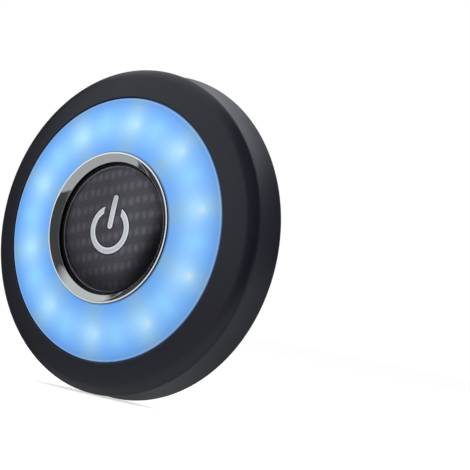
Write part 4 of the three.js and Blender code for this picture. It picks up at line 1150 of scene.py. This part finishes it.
def finish_for(slot):
    """The material for one of the record's slots, made once."""
    tints, inner = bpy.context.scene.lamp_colours, bpy.context.scene.lamp_inner
    makers = {
        "soft_black_plastic": lambda n: moulded(n, tints.housing, 0.36, grain=0.35, depth=0.012,
                                                specular_ior_level=0.45),
        "satin_grey_plastic": cover_finish,
        "adhesive_foam": lambda n: moulded(n, tints.pad, 0.7, grain=0.3, depth=0.02, tone=0.06, fleck=0.16),
        "black_plastic": lambda n: moulded(n, tints.moulding, 0.45),
        "white_plastic": lambda n: moulded(n, tints.frame, 0.48, tone=0.03),
        "chromed_plastic": chrome_finish,
        "zinc_plated_steel": lambda n: metal(n, tints.zinc, 0.3),
        "nickel_steel": lambda n: metal(n, tints.nickel, 0.3, spacing=0.1),
        "magnet_nickel": lambda n: metal(n, tints.magnet, 0.2),
        "silver_inlay": symbol_finish,
        "lit_diffuser": milk_finish,
        "carbon_look": carbon_finish,
        "white_board": lambda n: board_finish(n, tints.light_board),
        "green_board": lambda n: board_finish(n, tints.control_board),
        "colour_led_package": lambda n: led_finish(n, 0, inner.colour_dish, tints.colour_phosphor),
        "white_led_package": lambda n: led_finish(n, 1, inner.white_dish, tints.white_phosphor),
        "cell_sleeve": cell_finish,
        "spring_steel": wire_finish,
    }
    name = slot.replace("_", " ").title()
    return bpy.data.materials.get(name) or makers[slot](name)


# Operators

# What metal and gloss mirror, by direction: right is X, back is Y and height is Z of a way of length 1.
# Each pair holds where a zone begins and where it is full.
LIGHTS = {
    "ceiling": {"tilted height": (0.53, 0.62), "right": (0.3, -0.16)},
    "window": {"upper right": (0.45, 0.25), "right": (-1.04, -0.78), "back": (-0.1, -0.3)},
    "rear": {"back": (0.52, 0.76), "right": (0.42, 0.12), "height": (0.1, 0.5)},
    "far": {"back": (0.68, 0.8), "right": (0.05, 0.35)},
}
BEHIND, BESIDE = (-0.1, 0.2), (0.62, 0.82)
WINDOW_FADE, GLEAM_FADE = (-0.5, 0.25), (0, -0.25)
# How far the ceiling light's edge leans with the way back, and the front light's with the height.
CEILING_LEAN, WINDOW_LEAN = 0.15, 0.5
# The floor's edge lies this deep and rises to the right. Behind the lamp it is higher and rises more.
FLOOR_DEPTH, FLOOR_SLANT, FLOOR_EDGE = 0.45, 0.08, (0.0, 0.04)
FAR_RISE, FAR_SLANT = 0.18, 0.22
# Shares of their strength that the wall beside the lamp and the front light's foot show.
BESIDE_SHARE, WINDOW_FOOT = 0.15, 0.32
# Strength of the far gleam at eye level and further down.
GLEAM = (0.3, 0.6)


class LAMP_OT_stage(bpy.types.Operator):
    """Make the camera, the pale floor, the lamps and the world"""

    bl_idname = "lamp.stage"
    bl_label = "Studio"

    def execute(self, context):
        stage = context.scene.lamp_stage
        context.scene.view_settings.view_transform = "Standard"
        self.make_camera(context, stage)
        self.make_floor(stage)
        self.make_lamps()
        self.make_world(context, stage)
        return {"FINISHED"}

    def forward(self, stage):
        level = Vector((-math.sin(stage.azimuth), math.cos(stage.azimuth), 0))
        return level * math.cos(stage.elevation) - Vector((0, 0, math.sin(stage.elevation)))

    def make_camera(self, context, stage):
        forward = self.forward(stage)
        level = forward.cross(Vector((0, 0, 1))).normalized()
        upright = level.cross(forward)
        right = level * math.cos(stage.roll) + upright * math.sin(stage.roll)
        up = right.cross(forward)
        data = bpy.data.cameras.new("camera")
        data.lens, data.sensor_width = stage.lens, 36
        data.clip_start, data.clip_end = 0.01, 20
        camera = bpy.data.objects.new("camera", data)
        turn = Matrix((right, up, -forward)).transposed()
        camera.matrix_world = Matrix.Translation(stage.place) @ turn.to_4x4()
        context.scene.collection.objects.link(camera)
        context.scene.camera = camera

    def make_floor(self, stage):
        work = bmesh.new()
        bmesh.ops.create_grid(work, x_segments=1, y_segments=1, size=4)
        bmesh.ops.translate(work, verts=work.verts, vec=(0, 0, cad_box[0].z))
        mesh = bpy.data.meshes.new("floor")
        work.to_mesh(mesh)
        work.free()
        finish, tree, surface = new_finish("Pale Floor", roughness=0.9, specular_ior_level=0.0)
        surface.inputs["Base Color"].default_value = (*stage.floor_colour, 1)
        ray = add(tree, "ShaderNodeLightPath").outputs
        glow = maths(tree, "MULTIPLY", ray["Is Camera Ray"], stage.floor_glow)
        surface.inputs["Emission Color"].default_value = (1, 1, 1, 1)
        tree.links.new(glow, surface.inputs["Emission Strength"])
        mesh.materials.append(finish)
        floor = new_object("floor", mesh)
        floor.visible_glossy = False

    def make_lamps(self):
        middle = (cad_box[0] + cad_box[1]) / 2
        for name, place, size, power in (
            ("high lamp", (0.62, -0.55, 0.62), 0.8, 6.0),
            ("rear lamp", (0.5, 0.75, 0.6), 0.8, 5.0),
        ):
            data = bpy.data.lights.new(name, "AREA")
            data.shape, data.size, data.energy = "DISK", size, power
            lamp = bpy.data.objects.new(name, data)
            lamp.visible_glossy = False
            lamp.location = place
            lamp.rotation_euler = (middle - lamp.location).to_track_quat("-Z", "Y").to_euler()
            bpy.context.scene.collection.objects.link(lamp)

    def make_world(self, context, stage):
        world = bpy.data.worlds.new("studio")
        context.scene.world = world
        world.use_nodes = True
        tree = world.node_tree
        ray = add(tree, "ShaderNodeLightPath").outputs
        way = add(tree, "ShaderNodeTexCoord").outputs["Generated"]
        part = add(tree, "ShaderNodeSeparateXYZ", {"Vector": way}).outputs

        right, back, height = part["X"], part["Y"], part["Z"]
        above = maths(tree, "MAXIMUM", height, 0)
        measures = {
            "right": right, "back": back, "height": height,
            "tilted height": maths(tree, "MULTIPLY_ADD", back, CEILING_LEAN, height),
            "upper right": maths(tree, "MULTIPLY_ADD", above, WINDOW_LEAN, right),
        }

        def zone(measure, edges):
            return ramp(tree, measures[measure], *edges, easing="SMOOTHSTEP")

        def between(share, low, high):
            return maths(tree, "MULTIPLY_ADD", share, high - low, low)

        def light(name, strength=1.0):
            for measure, edges in LIGHTS[name].items():
                strength = maths(tree, "MULTIPLY", zone(measure, edges), strength)
            return strength

        behind = zone("back", BEHIND)
        floor_level = between(behind, stage.mirrored_floor, stage.mirrored_back)
        raised = maths(tree, "MULTIPLY", behind, maths(tree, "MULTIPLY_ADD", right, FAR_SLANT, FAR_RISE))
        level = maths(tree, "SUBTRACT", raised, FLOOR_DEPTH)
        floor_edge = maths(tree, "MULTIPLY_ADD", right, FLOOR_SLANT, level)
        measures["depth"] = maths(tree, "SUBTRACT", floor_edge, height)
        walls = between(zone("right", BESIDE), stage.walls, BESIDE_SHARE * stage.walls)
        on_floor = zone("depth", FLOOR_EDGE)
        room = maths(tree, "MULTIPLY_ADD", on_floor, maths(tree, "SUBTRACT", floor_level, walls), walls)
        window = between(zone("height", WINDOW_FADE), WINDOW_FOOT * stage.window, stage.window)
        gleam = between(zone("height", GLEAM_FADE), *GLEAM)
        for bright in (light("ceiling"), light("window", window), light("rear"), light("far", gleam)):
            room = maths(tree, "MAXIMUM", room, bright)
        mirrored = maths(tree, "MAXIMUM", ray["Is Glossy Ray"], ray["Is Transmission Ray"])
        plain = maths(tree, "MULTIPLY_ADD", ray["Is Camera Ray"], 1 - stage.fill, stage.fill)
        strength = maths(tree, "MULTIPLY_ADD", mirrored, maths(tree, "SUBTRACT", room, plain), plain)
        background = tree.nodes["Background"]
        tint = blend_colours(tree, mirrored, (1, 1, 1), stage.mirrored_tint)
        tree.links.new(tint, background.inputs["Color"])
        tree.links.new(strength, background.inputs["Strength"])


def bezel_slope(size):
    """Middles of the shoulder's two rounds, and the slope of the bezel that runs into them."""
    inner = size.rim_radius - size.taper - size.bezel_width
    corner = Vector((size.rim_radius - size.taper - size.corner, size.edge - size.drop))
    apart = size.shoulder - size.corner
    shoulder = corner - apart * Vector((math.cos(size.corner_turn), math.sin(size.corner_turn)))
    to_shoulder = shoulder - Vector((inner, size.edge))
    slope = math.atan2(to_shoulder.y, to_shoulder.x) + math.asin(size.shoulder / to_shoulder.length)
    return inner, corner, shoulder, slope


def upright_block(name, reach, heights, width, finish):
    """A block between two distances to the right of the axis and two heights."""
    start, end = reach
    back, front = heights
    middle = ((start + end) / 2, -(back + front) / 2, 0)
    return block(name, middle, (end - start, front - back, width), finish)


def key_bar(name, size, reach, heights, width, finish):
    """A bar that lies along the key's direction."""
    bar = upright_block(name, reach, heights, width, finish)
    bar.data.transform(Matrix.Rotation(-size.key_angle, 4, "Y"))
    return bar


class LAMP_OT_housing(bpy.types.Operator):
    """Make the moulded housing"""

    bl_idname = "lamp.housing"
    bl_label = "Housing"

    def execute(self, context):
        size, back = context.scene.lamp_housing, context.scene.lamp_back
        finish = finish_for("soft_black_plastic")
        inner, corner, shoulder, slope = bezel_slope(size)
        rim = size.rim_radius

        def top(radius):
            return size.edge + (radius - inner) * math.tan(slope)

        edge = Vector((inner + size.edge_round, size.edge - size.edge_round - size.edge_drop))
        foot = (rim, size.back + size.rim_round)
        inside = rim - size.taper - size.wall
        rabbet = inner + size.rabbet
        lower = size.edge - size.edge_thickness
        outline = [
            (rim - size.rim_width, size.back),
            *arc((rim - size.rim_round, foot[1]), size.rim_round, -QUARTER, 0, 6),
            *bow(foot, (rim - size.taper, corner.y), size.hollow, 18)[1:-1],
            *arc(corner, size.corner, 0, size.corner_turn, 8)[:-1],
            *arc(shoulder, size.shoulder, size.corner_turn, QUARTER + slope, 16),
            *arc(edge, size.edge_round, QUARTER + slope, 2 * QUARTER, 6),
            (inner, lower), (rabbet, lower), (rabbet, top(rabbet) - size.wall),
            (inside - size.wall, top(inside - size.wall) - size.wall),
            (inside, top(inside) - 2 * size.wall),
            (rim - size.wall, size.ledge), (rim - size.rim_width, size.ledge),
        ]
        shell = turned("housing_shell", outline, finish, steps=256)
        boss_top = top(back.screw_circle) - size.wall + size.boss_reach
        boss = turned("boss", [
            (size.boss_hole, size.boss_bottom), (size.boss_radius, size.boss_bottom),
            (size.boss_radius, boss_top), (size.boss_hole, boss_top),
        ], finish, steps=40)
        bosses = copied_round(boss, back.screws, back.screw_circle, back.screw_angle, finish)
        start = back.cover - size.key_depth
        key = key_bar("key", size, (start, rim - size.rim_width / 2), (back.back, size.ledge + JOIN),
                      size.key_width, finish)
        web = key_bar("key_web", size, (start, rim - size.wall + JOIN),
                      (size.ledge, size.ledge + size.key_depth), size.key_width, finish)
        combine(shell, [key, web, bosses], "UNION")
        set_in(shell, "lamp", "soft_black_plastic", "housing")
        return {"FINISHED"}


class LAMP_OT_light_ring(bpy.types.Operator):
    """Make the milky ring and the chromed ring inside it"""

    bl_idname = "lamp.light_ring"
    bl_label = "Light ring"

    def execute(self, context):
        size, edge = context.scene.lamp_ring, context.scene.lamp_housing.edge
        milk = finish_for("lit_diffuser")
        wall, rim_round = size.outer - size.thickness, size.outer_round
        ring = turned("milky_ring", [
            (size.inner, size.foot), (size.inner + size.collar, size.foot),
            (size.inner + size.collar, size.top - size.thickness), (wall, edge - size.thickness),
            (wall, size.flange_back), (size.flange, size.flange_back), (size.flange, size.flange_front),
            (size.outer, size.flange_front), (size.outer, edge - rim_round),
            *bow((size.outer - rim_round, edge), (size.inner, size.top), -size.bulge, 24),
        ], milk, steps=256)
        set_in(ring, "lamp", "lit_diffuser", "diffuser_ring")
        chrome = finish_for("chromed_plastic")
        bead = size.crown * size.bead
        crown = (size.chrome - bead, size.chrome_top - bead)
        inside = size.chrome - size.crown
        lip, lip_round = Vector((size.lip, size.chrome_top - size.lip_drop)), size.lip_round
        step = Vector((size.step_in, size.step_down))
        skirt = size.skirt - size.skirt_wall
        bezel = turned("chromed_ring", [
            (skirt, size.foot), (size.skirt, size.foot), (size.skirt, size.top - size.seat_drop),
            (size.inner - step.x, size.top + step.y / 2), (size.chrome, size.top - step.y),
            *arc(crown, bead, 0, QUARTER, 10), (inside, size.chrome_top),
            *bow((inside - step.x, size.chrome_top - step.y),
                 (lip.x + lip_round * 1.4, lip.y + lip_round * 0.2), size.hollow, 16),
            *arc((lip.x + lip_round, lip.y - lip_round * 0.6), lip_round, QUARTER * 1.3, math.pi, 6),
            (lip.x, lip.y - size.lip_height), (skirt, lip.y - size.lip_height - size.skirt_wall),
        ], chrome, steps=256)
        set_in(bezel, "lamp", "chromed_plastic", "chrome_bezel")
        return {"FINISHED"}


class LAMP_OT_button(bpy.types.Operator):
    """Make the push button and its symbol"""

    bl_idname = "lamp.button"
    bl_label = "Button"

    def execute(self, context):
        size = context.scene.lamp_button
        self.make_cap(size)
        self.make_face(size)
        self.make_symbol(size)
        return {"FINISHED"}

    def make_cap(self, size):
        finish = finish_for("black_plastic")
        skirt = size.radius - size.skirt_wall
        cap = turned("button_moulding", [
            *dome(size.cap_edge - size.cap_wall, size.rise, size.radius, 0, skirt),
            (skirt, size.flange_back), (size.flange, size.flange_back), (size.flange, size.flange_front),
            (size.radius, size.flange_front),
            *dome(size.cap_edge, size.rise, size.radius, size.radius, 0),
        ], finish, steps=128, closed=False)
        peg = disc("peg", size.peg, size.peg_back, size.peg_front, finish, steps=32)
        combine(cap, [copied_in_pairs(peg, size.pegs_across, size.pegs_apart, finish)], "UNION")
        set_in(cap, "button", "black_plastic", "button_cap")

    def fall(self, size, radius):
        """How much lower than the dome the face lies near its rim."""
        part = max(0, (radius - size.rim_start) / (size.radius - size.rim_start))
        return size.rim_fall * part ** 2.5

    def make_face(self, size):
        finish = finish_for("carbon_look")
        inner = size.radius - size.edge_round
        top = dome_height(size.edge, size.rise, size.radius, inner) - self.fall(size, inner)
        face = []
        for radius, height in dome(size.edge, size.rise, size.radius, inner, 0, steps=96):
            depth = size.groove_depth * math.exp(-((radius - size.groove) / size.groove_width) ** 2)
            face.append((radius, height - depth - self.fall(size, radius)))
        disc_face = turned("carbon_face", [
            *dome(size.edge - size.thickness, size.rise, size.radius, 0, size.radius),
            *arc((inner, top - size.edge_round), size.edge_round, 0, QUARTER, 8)[:-1],
            *face,
        ], finish, steps=192, closed=False)
        set_in(disc_face, "button", "carbon_look", "carbon_insert")

    def make_symbol(self, size):
        finish = finish_for("silver_inlay")
        outer, inner, half = size.ring, size.ring - size.stroke, size.gap / 2
        starts = [math.asin(half / radius) for radius in (outer, inner)]
        sides = [
            arc((0, -size.ring_drop), radius, QUARTER + start, QUARTER + TURN - start, 96)
            for radius, start in zip((outer, inner), starts)
        ]
        ring = self.printed("symbol_ring", size, list(zip(*sides)), finish)
        set_in(ring, "button", "silver_inlay", "power_ring_inlay")
        radius = size.stroke / 2
        top, low = size.bar_top - radius, radius - size.bar_low
        side = [
            *arc((0, low), radius, -QUARTER, 0, 16),
            *bow((radius, low), (radius, top), 0, 12)[1:-1],
            *arc((0, top), radius, 0, QUARTER, 16),
        ]
        bar = self.printed("symbol_bar", size, [[(x, y), (-x, y)] for x, y in side], finish)
        set_in(bar, "button", "silver_inlay", "power_bar_inlay")

    def printed(self, name, size, rows, finish):
        """A thin raised print that follows the button's dome, from pairs of points along its sides."""
        columns = 10
        work = bmesh.new()
        layers = []
        for lift in (size.relief, -size.print_depth):
            grid = []
            for start, end in rows:
                line = []
                for column in range(columns + 1):
                    part = column / columns
                    x = start[0] + (end[0] - start[0]) * part
                    y = start[1] + (end[1] - start[1]) * part
                    height = dome_height(size.edge, size.rise, size.radius, math.hypot(x, y)) + lift
                    if lift > 0:
                        height -= lift * abs(2 * part - 1) ** 8
                    line.append(work.verts.new((x, -height, y)))
                grid.append(line)
            layers.append(grid)
        for grid in layers:
            for first, second in zip(grid, grid[1:]):
                for column in range(columns):
                    work.faces.new((first[column], first[column + 1], second[column + 1], second[column]))
        upper, lower = layers
        for column in (0, columns):
            for index in range(len(rows) - 1):
                work.faces.new((upper[index][column], upper[index + 1][column],
                                lower[index + 1][column], lower[index][column]))
        for index in (0, len(rows) - 1):
            for column in range(columns):
                work.faces.new((upper[index][column], upper[index][column + 1],
                                lower[index][column + 1], lower[index][column]))
        mesh = bpy.data.meshes.new(name)
        work.to_mesh(mesh)
        work.free()
        mesh.materials.append(finish)
        return settle(new_object(name, mesh))


class LAMP_OT_rear_cover(bpy.types.Operator):
    """Make the rear cover with its recess, screw wells and notch"""

    bl_idname = "lamp.rear_cover"
    bl_label = "Rear cover"

    def execute(self, context):
        size, key = context.scene.lamp_back, context.scene.lamp_housing
        inner, finish = context.scene.lamp_inner, finish_for("satin_grey_plastic")
        mouth, edge = size.mouth_round, size.edge_round
        raised = size.recess + size.floor_front - size.floor_back
        plate = turned("rear_plate", [
            (0, size.floor_back), (size.recess, size.floor_back),
            *arc((size.recess + mouth, size.back + mouth), mouth, 2 * QUARTER, 3 * QUARTER, 5),
            *arc((size.cover - edge, size.back + edge), edge, -QUARTER, 0, 6),
            (size.cover, size.front), (raised, size.front), (raised, size.floor_front), (0, size.floor_front),
        ], finish, steps=256, closed=False)

        def at_screws(piece):
            return copied_round(piece, size.screws, size.screw_circle, size.screw_angle, finish)

        wells = at_screws(disc("wells", size.well_outer, size.front - 2 * JOIN, size.well_front, finish))
        collar = turned("collar", [
            (size.collar_inner, size.collar_back), (size.collar_outer, size.collar_back),
            (size.collar_outer, size.collar_front), (size.collar_inner, size.collar_front),
        ], finish, steps=40)
        collars = copied_in_pairs(collar, inner.magnet_across, inner.magnet_apart, finish)
        post = disc("posts", size.post, size.post_back, size.post_front, finish, steps=32)
        posts = copied_round(post, size.posts, size.post_circle, 0, finish)
        combine(plate, [wells, collars, posts], "UNION")
        low, high = size.back - OVERLAP, size.front + OVERLAP
        bores = at_screws(turned("bores", [
            (0, low), (size.well + mouth * 2, low),
            *arc((size.well + mouth, size.back + mouth), mouth, -QUARTER, -2 * QUARTER, 5),
            (size.well, size.well_seat), (0, size.well_seat),
        ], finish, steps=48, closed=False))
        hole = disc("holes", size.screw_hole, size.back, size.well_front + OVERLAP, finish, steps=32)
        holes = at_screws(hole)
        start = size.cover - key.key_depth - size.notch_gap
        notch = key_bar("notch", key, (start, key.rim_radius), (low, high),
                        key.key_width + 2 * size.notch_gap, finish)
        combine(plate, [bores, holes, notch], "DIFFERENCE")
        set_in(plate, "lamp", "satin_grey_plastic", "rear_cover")
        return {"FINISHED"}


def cross(long, wide, depth, head, finish):
    """The two blocks that cut a cross into a screw's head, which ends at the height given."""
    return [
        block(name, (0, -head, 0), (across, depth * 2, up), finish)
        for name, across, up in (("slot_a", long, wide), ("slot_b", wide, long))
    ]


class LAMP_OT_rear_screws(bpy.types.Operator):
    """Make the four pan-head screws in the rear cover"""

    bl_idname = "lamp.rear_screws"
    bl_label = "Rear screws"

    def execute(self, context):
        size = context.scene.lamp_back
        finish = finish_for("nickel_steel")
        head, back, seat = size.head, size.head_back, size.head_back + size.head_height
        crown = [
            (radius * head, back + size.head_height * size.head_dome * rise)
            for radius, rise in arc((0, 1), 1, -QUARTER, 0, 12)
        ]
        neck, tip = seat + size.neck, seat + size.shank_length
        thread = []
        for step in range(int((tip - neck - size.point) / size.thread)):
            start = neck + step * size.thread
            thread += [(size.shank, start), (size.shank * size.root, start + size.thread / 2)]
        screw = turned("rear_screw_set", [
            *crown, (head, seat), (size.shank, seat), *thread,
            (size.shank * size.tip, tip - size.point), (0, tip),
        ], finish, steps=40, closed=False)
        combine(screw, cross(size.slot_length, size.slot_width, size.slot_depth, back, finish),
                "DIFFERENCE")
        screw.data.transform(Matrix.Rotation(size.head_turn, 4, "Y"))
        screws = copied_round(screw, size.screws, size.screw_circle, size.screw_angle, finish)
        set_in(screws, "lamp", "nickel_steel", *numbered("rear_screw", size.screws))
        return {"FINISHED"}


class LAMP_OT_mounting_disc(bpy.types.Operator):
    """Make the adhesive pad and the steel plate"""

    bl_idname = "lamp.mounting_disc"
    bl_label = "Mounting disc"

    def execute(self, context):
        size = context.scene.lamp_back
        pad = disc("wall_pad", size.pad, PAD_BACK, size.pad_front, finish_for("adhesive_foam"),
                   size.pad_round, steps=192)
        set_in(pad, "mounting_disc", "adhesive_foam", "adhesive_pad")
        plate = disc("steel_disc", size.plate, size.plate_back, size.plate_front,
                     finish_for("zinc_plated_steel"), size.plate_round, steps=192)
        set_in(plate, "mounting_disc", "zinc_plated_steel", "steel_mounting_plate")
        return {"FINISHED"}


class LAMP_OT_leds(bpy.types.Operator):
    """Make the two sorts of LED round the light ring"""

    bl_idname = "lamp.leds"
    bl_label = "LEDs"

    def execute(self, context):
        size = context.scene.lamp_inner
        half_step = math.pi / size.pairs
        for node, side, height, dish, first in (
            ("colour_led", size.colour_side, size.colour_height, size.colour_dish, QUARTER),
            ("white_led", size.white_side, size.white_height, size.white_dish, QUARTER - half_step),
        ):
            slot = f"{node}_package"
            finish = finish_for(slot)
            back = size.board_front + size.gap
            front = back + height
            body = upright_block(f"{node}_set", (-side / 2, side / 2), (back, front), side, finish)
            softened(body, size.led_round)
            cup = disc("dish", dish, front - size.dish_depth, front + OVERLAP, finish, steps=32)
            combine(body, [cup], "DIFFERENCE")
            leds = copied_round(body, size.pairs, size.led_circle, first, finish)
            set_in(leds, "lamp", slot, *numbered(node, size.pairs, 2))
        return {"FINISHED"}


class LAMP_OT_cells(bpy.types.Operator):
    """Make the cells, their springs and tabs"""

    bl_idname = "lamp.cells"
    bl_label = "Cells and contacts"

    def execute(self, context):
        size = context.scene.lamp_inner
        tree = group("Copies In A Stack", stack_tree)
        axis = Matrix.Translation((0, -size.cell_axis, 0))
        tab_outer = size.tray_half - size.gap
        tab_inner = tab_outer - size.tab_thickness
        end = tab_inner - size.gap
        shoulder, start = end - size.nub_height, end - size.cell_length
        edge, nub_edge = size.cell_round, size.nub_round
        cell = turned("cell_set", [
            (0, start), *arc((size.cell_radius - edge, start + edge), edge, -QUARTER, 0, 5),
            *arc((size.cell_radius - edge, shoulder - edge), edge, 0, QUARTER, 5),
            (size.nub_radius, shoulder),
            *arc((size.nub_radius - nub_edge, end - nub_edge), nub_edge, 0, QUARTER, 3), (0, end),
        ], finish_for("cell_sleeve"), steps=64, closed=False)
        cell.data.transform(axis @ Matrix.Rotation(QUARTER, 4, "Z"))
        tab_heights = (size.cell_axis - size.tab_side / 2, size.cell_axis + size.tab_side / 2)
        tab = upright_block("contact_tab_set", (tab_inner, tab_outer), tab_heights, size.tab_side,
                            finish_for("nickel_steel"))
        softened(tab, size.tab_round)
        spring = new_object("contact_spring_set", bpy.data.meshes.new("contact_spring_set"))
        spring = run_tree(spring, group("Wound Wire", wire_tree), turns=size.spring_turns,
                          wide_radius=size.spring_wide, narrow_radius=size.spring_narrow,
                          run=size.spring_run, wire_radius=size.wire / 2, finish=finish_for("spring_steel"))
        low = min(vertex.co.x for vertex in spring.data.vertices)
        foot = size.gap - size.tray_half
        spring.data.transform(Matrix.Translation((foot - low, -size.cell_axis, 0)))
        for piece, stem, slot in (
            (cell, "battery_cell", "cell_sleeve"), (tab, "contact_tab", "nickel_steel"),
            (spring, "contact_spring", "spring_steel"),
        ):
            made = run_tree(piece, tree, count=size.cells, spacing=size.cell_spacing, finish=finish_for(slot))
            set_in(made, "lamp", slot, *numbered(stem, size.cells))
        return {"FINISHED"}


class LAMP_OT_small_parts(bpy.types.Operator):
    """Make the magnets and the light ring's screws"""

    bl_idname = "lamp.small_parts"
    bl_label = "Magnets and board screws"

    def execute(self, context):
        size = context.scene.lamp_inner
        finish = finish_for("magnet_nickel")
        magnet = disc("magnet_set", size.magnet_radius, size.magnet_back,
                      size.magnet_back + size.magnet_height, finish, size.magnet_round)
        magnets = copied_in_pairs(magnet, size.magnet_across, size.magnet_apart, finish)
        set_in(magnets, "lamp", "magnet_nickel", *numbered("magnet", 4))
        steel = finish_for("spring_steel")
        seat, head, shank = size.board_front + size.gap, size.board_screw_head, size.board_screw_shank
        side, tip = seat + size.board_screw_side, seat - size.board_screw_length
        crown = [(head * radius, side + size.board_screw_dome * rise)
                 for radius, rise in arc((0, 0), 1, 0, QUARTER, 8)]
        top = side + size.board_screw_dome
        screw = turned("board_screw_set", [
            (0, tip), (shank * 2 / 3, tip + shank), (shank, tip + size.board_screw_point), (shank, seat),
            (head, seat), *crown[:-1], (0, top),
        ], steel, steps=32, closed=False)
        slot = size.board_screw_slot
        combine(screw, cross(size.board_screw_cross, slot, slot, top, steel), "DIFFERENCE")
        first = QUARTER - math.pi / size.pairs / 2
        screws = copied_round(screw, size.board_screws, size.board_screw_circle, first, steel)
        set_in(screws, "lamp", "spring_steel", *numbered("board_screw", size.board_screws))
        return {"FINISHED"}


class LAMP_OT_carried_nodes(bpy.types.Operator):
    """Give the model's remaining nodes their finishes"""

    bl_idname = "lamp.carried_nodes"
    bl_label = "Frame, tray and boards"

    def execute(self, context):
        slots = {part["node"]: part["material_slot"] for part in frame["record"]["subparts"]}
        for name, node in frame["nodes"].items():
            if node.hide_render:
                continue
            finish = finish_for(slots[name])
            node.data.materials.clear()
            node.data.materials.append(finish)
        return {"FINISHED"}


OPERATORS = (
    LAMP_OT_stage, LAMP_OT_housing, LAMP_OT_light_ring, LAMP_OT_button, LAMP_OT_rear_cover,
    LAMP_OT_rear_screws, LAMP_OT_mounting_disc, LAMP_OT_leds, LAMP_OT_cells, LAMP_OT_small_parts,
    LAMP_OT_carried_nodes,
)


class LAMP_PT_sidebar(bpy.types.Panel):
    """Lists the lamp's sizes, colours and pieces"""

    bl_idname = "LAMP_PT_sidebar"
    bl_label = "Magnetic Lamp"
    bl_space_type = "VIEW_3D"
    bl_region_type = "UI"
    bl_category = "Lamp"

    def draw(self, context):
        for operator in OPERATORS:
            self.layout.operator(operator.bl_idname)
        for name, kind in SETTINGS.items():
            box = self.layout.box()
            box.label(text=kind.__doc__)
            for field in kind.__annotations__:
                box.prop(getattr(context.scene, name), field)


CLASSES = (*SETTINGS.values(), *OPERATORS, LAMP_PT_sidebar)


def register():
    for made in CLASSES:
        bpy.utils.register_class(made)
    for name, kind in SETTINGS.items():
        setattr(bpy.types.Scene, name, bpy.props.PointerProperty(type=kind))


def unregister():
    for name in SETTINGS:
        delattr(bpy.types.Scene, name)
    for made in reversed(CLASSES):
        bpy.utils.unregister_class(made)


def main():
    register()
    for operator in OPERATORS:
        family, name = operator.bl_idname.split(".")
        if getattr(getattr(bpy.ops, family), name)() != {"FINISHED"}:
            raise RuntimeError(f"{operator.bl_label} didn't finish")


if __name__ == "__main__":
    main()
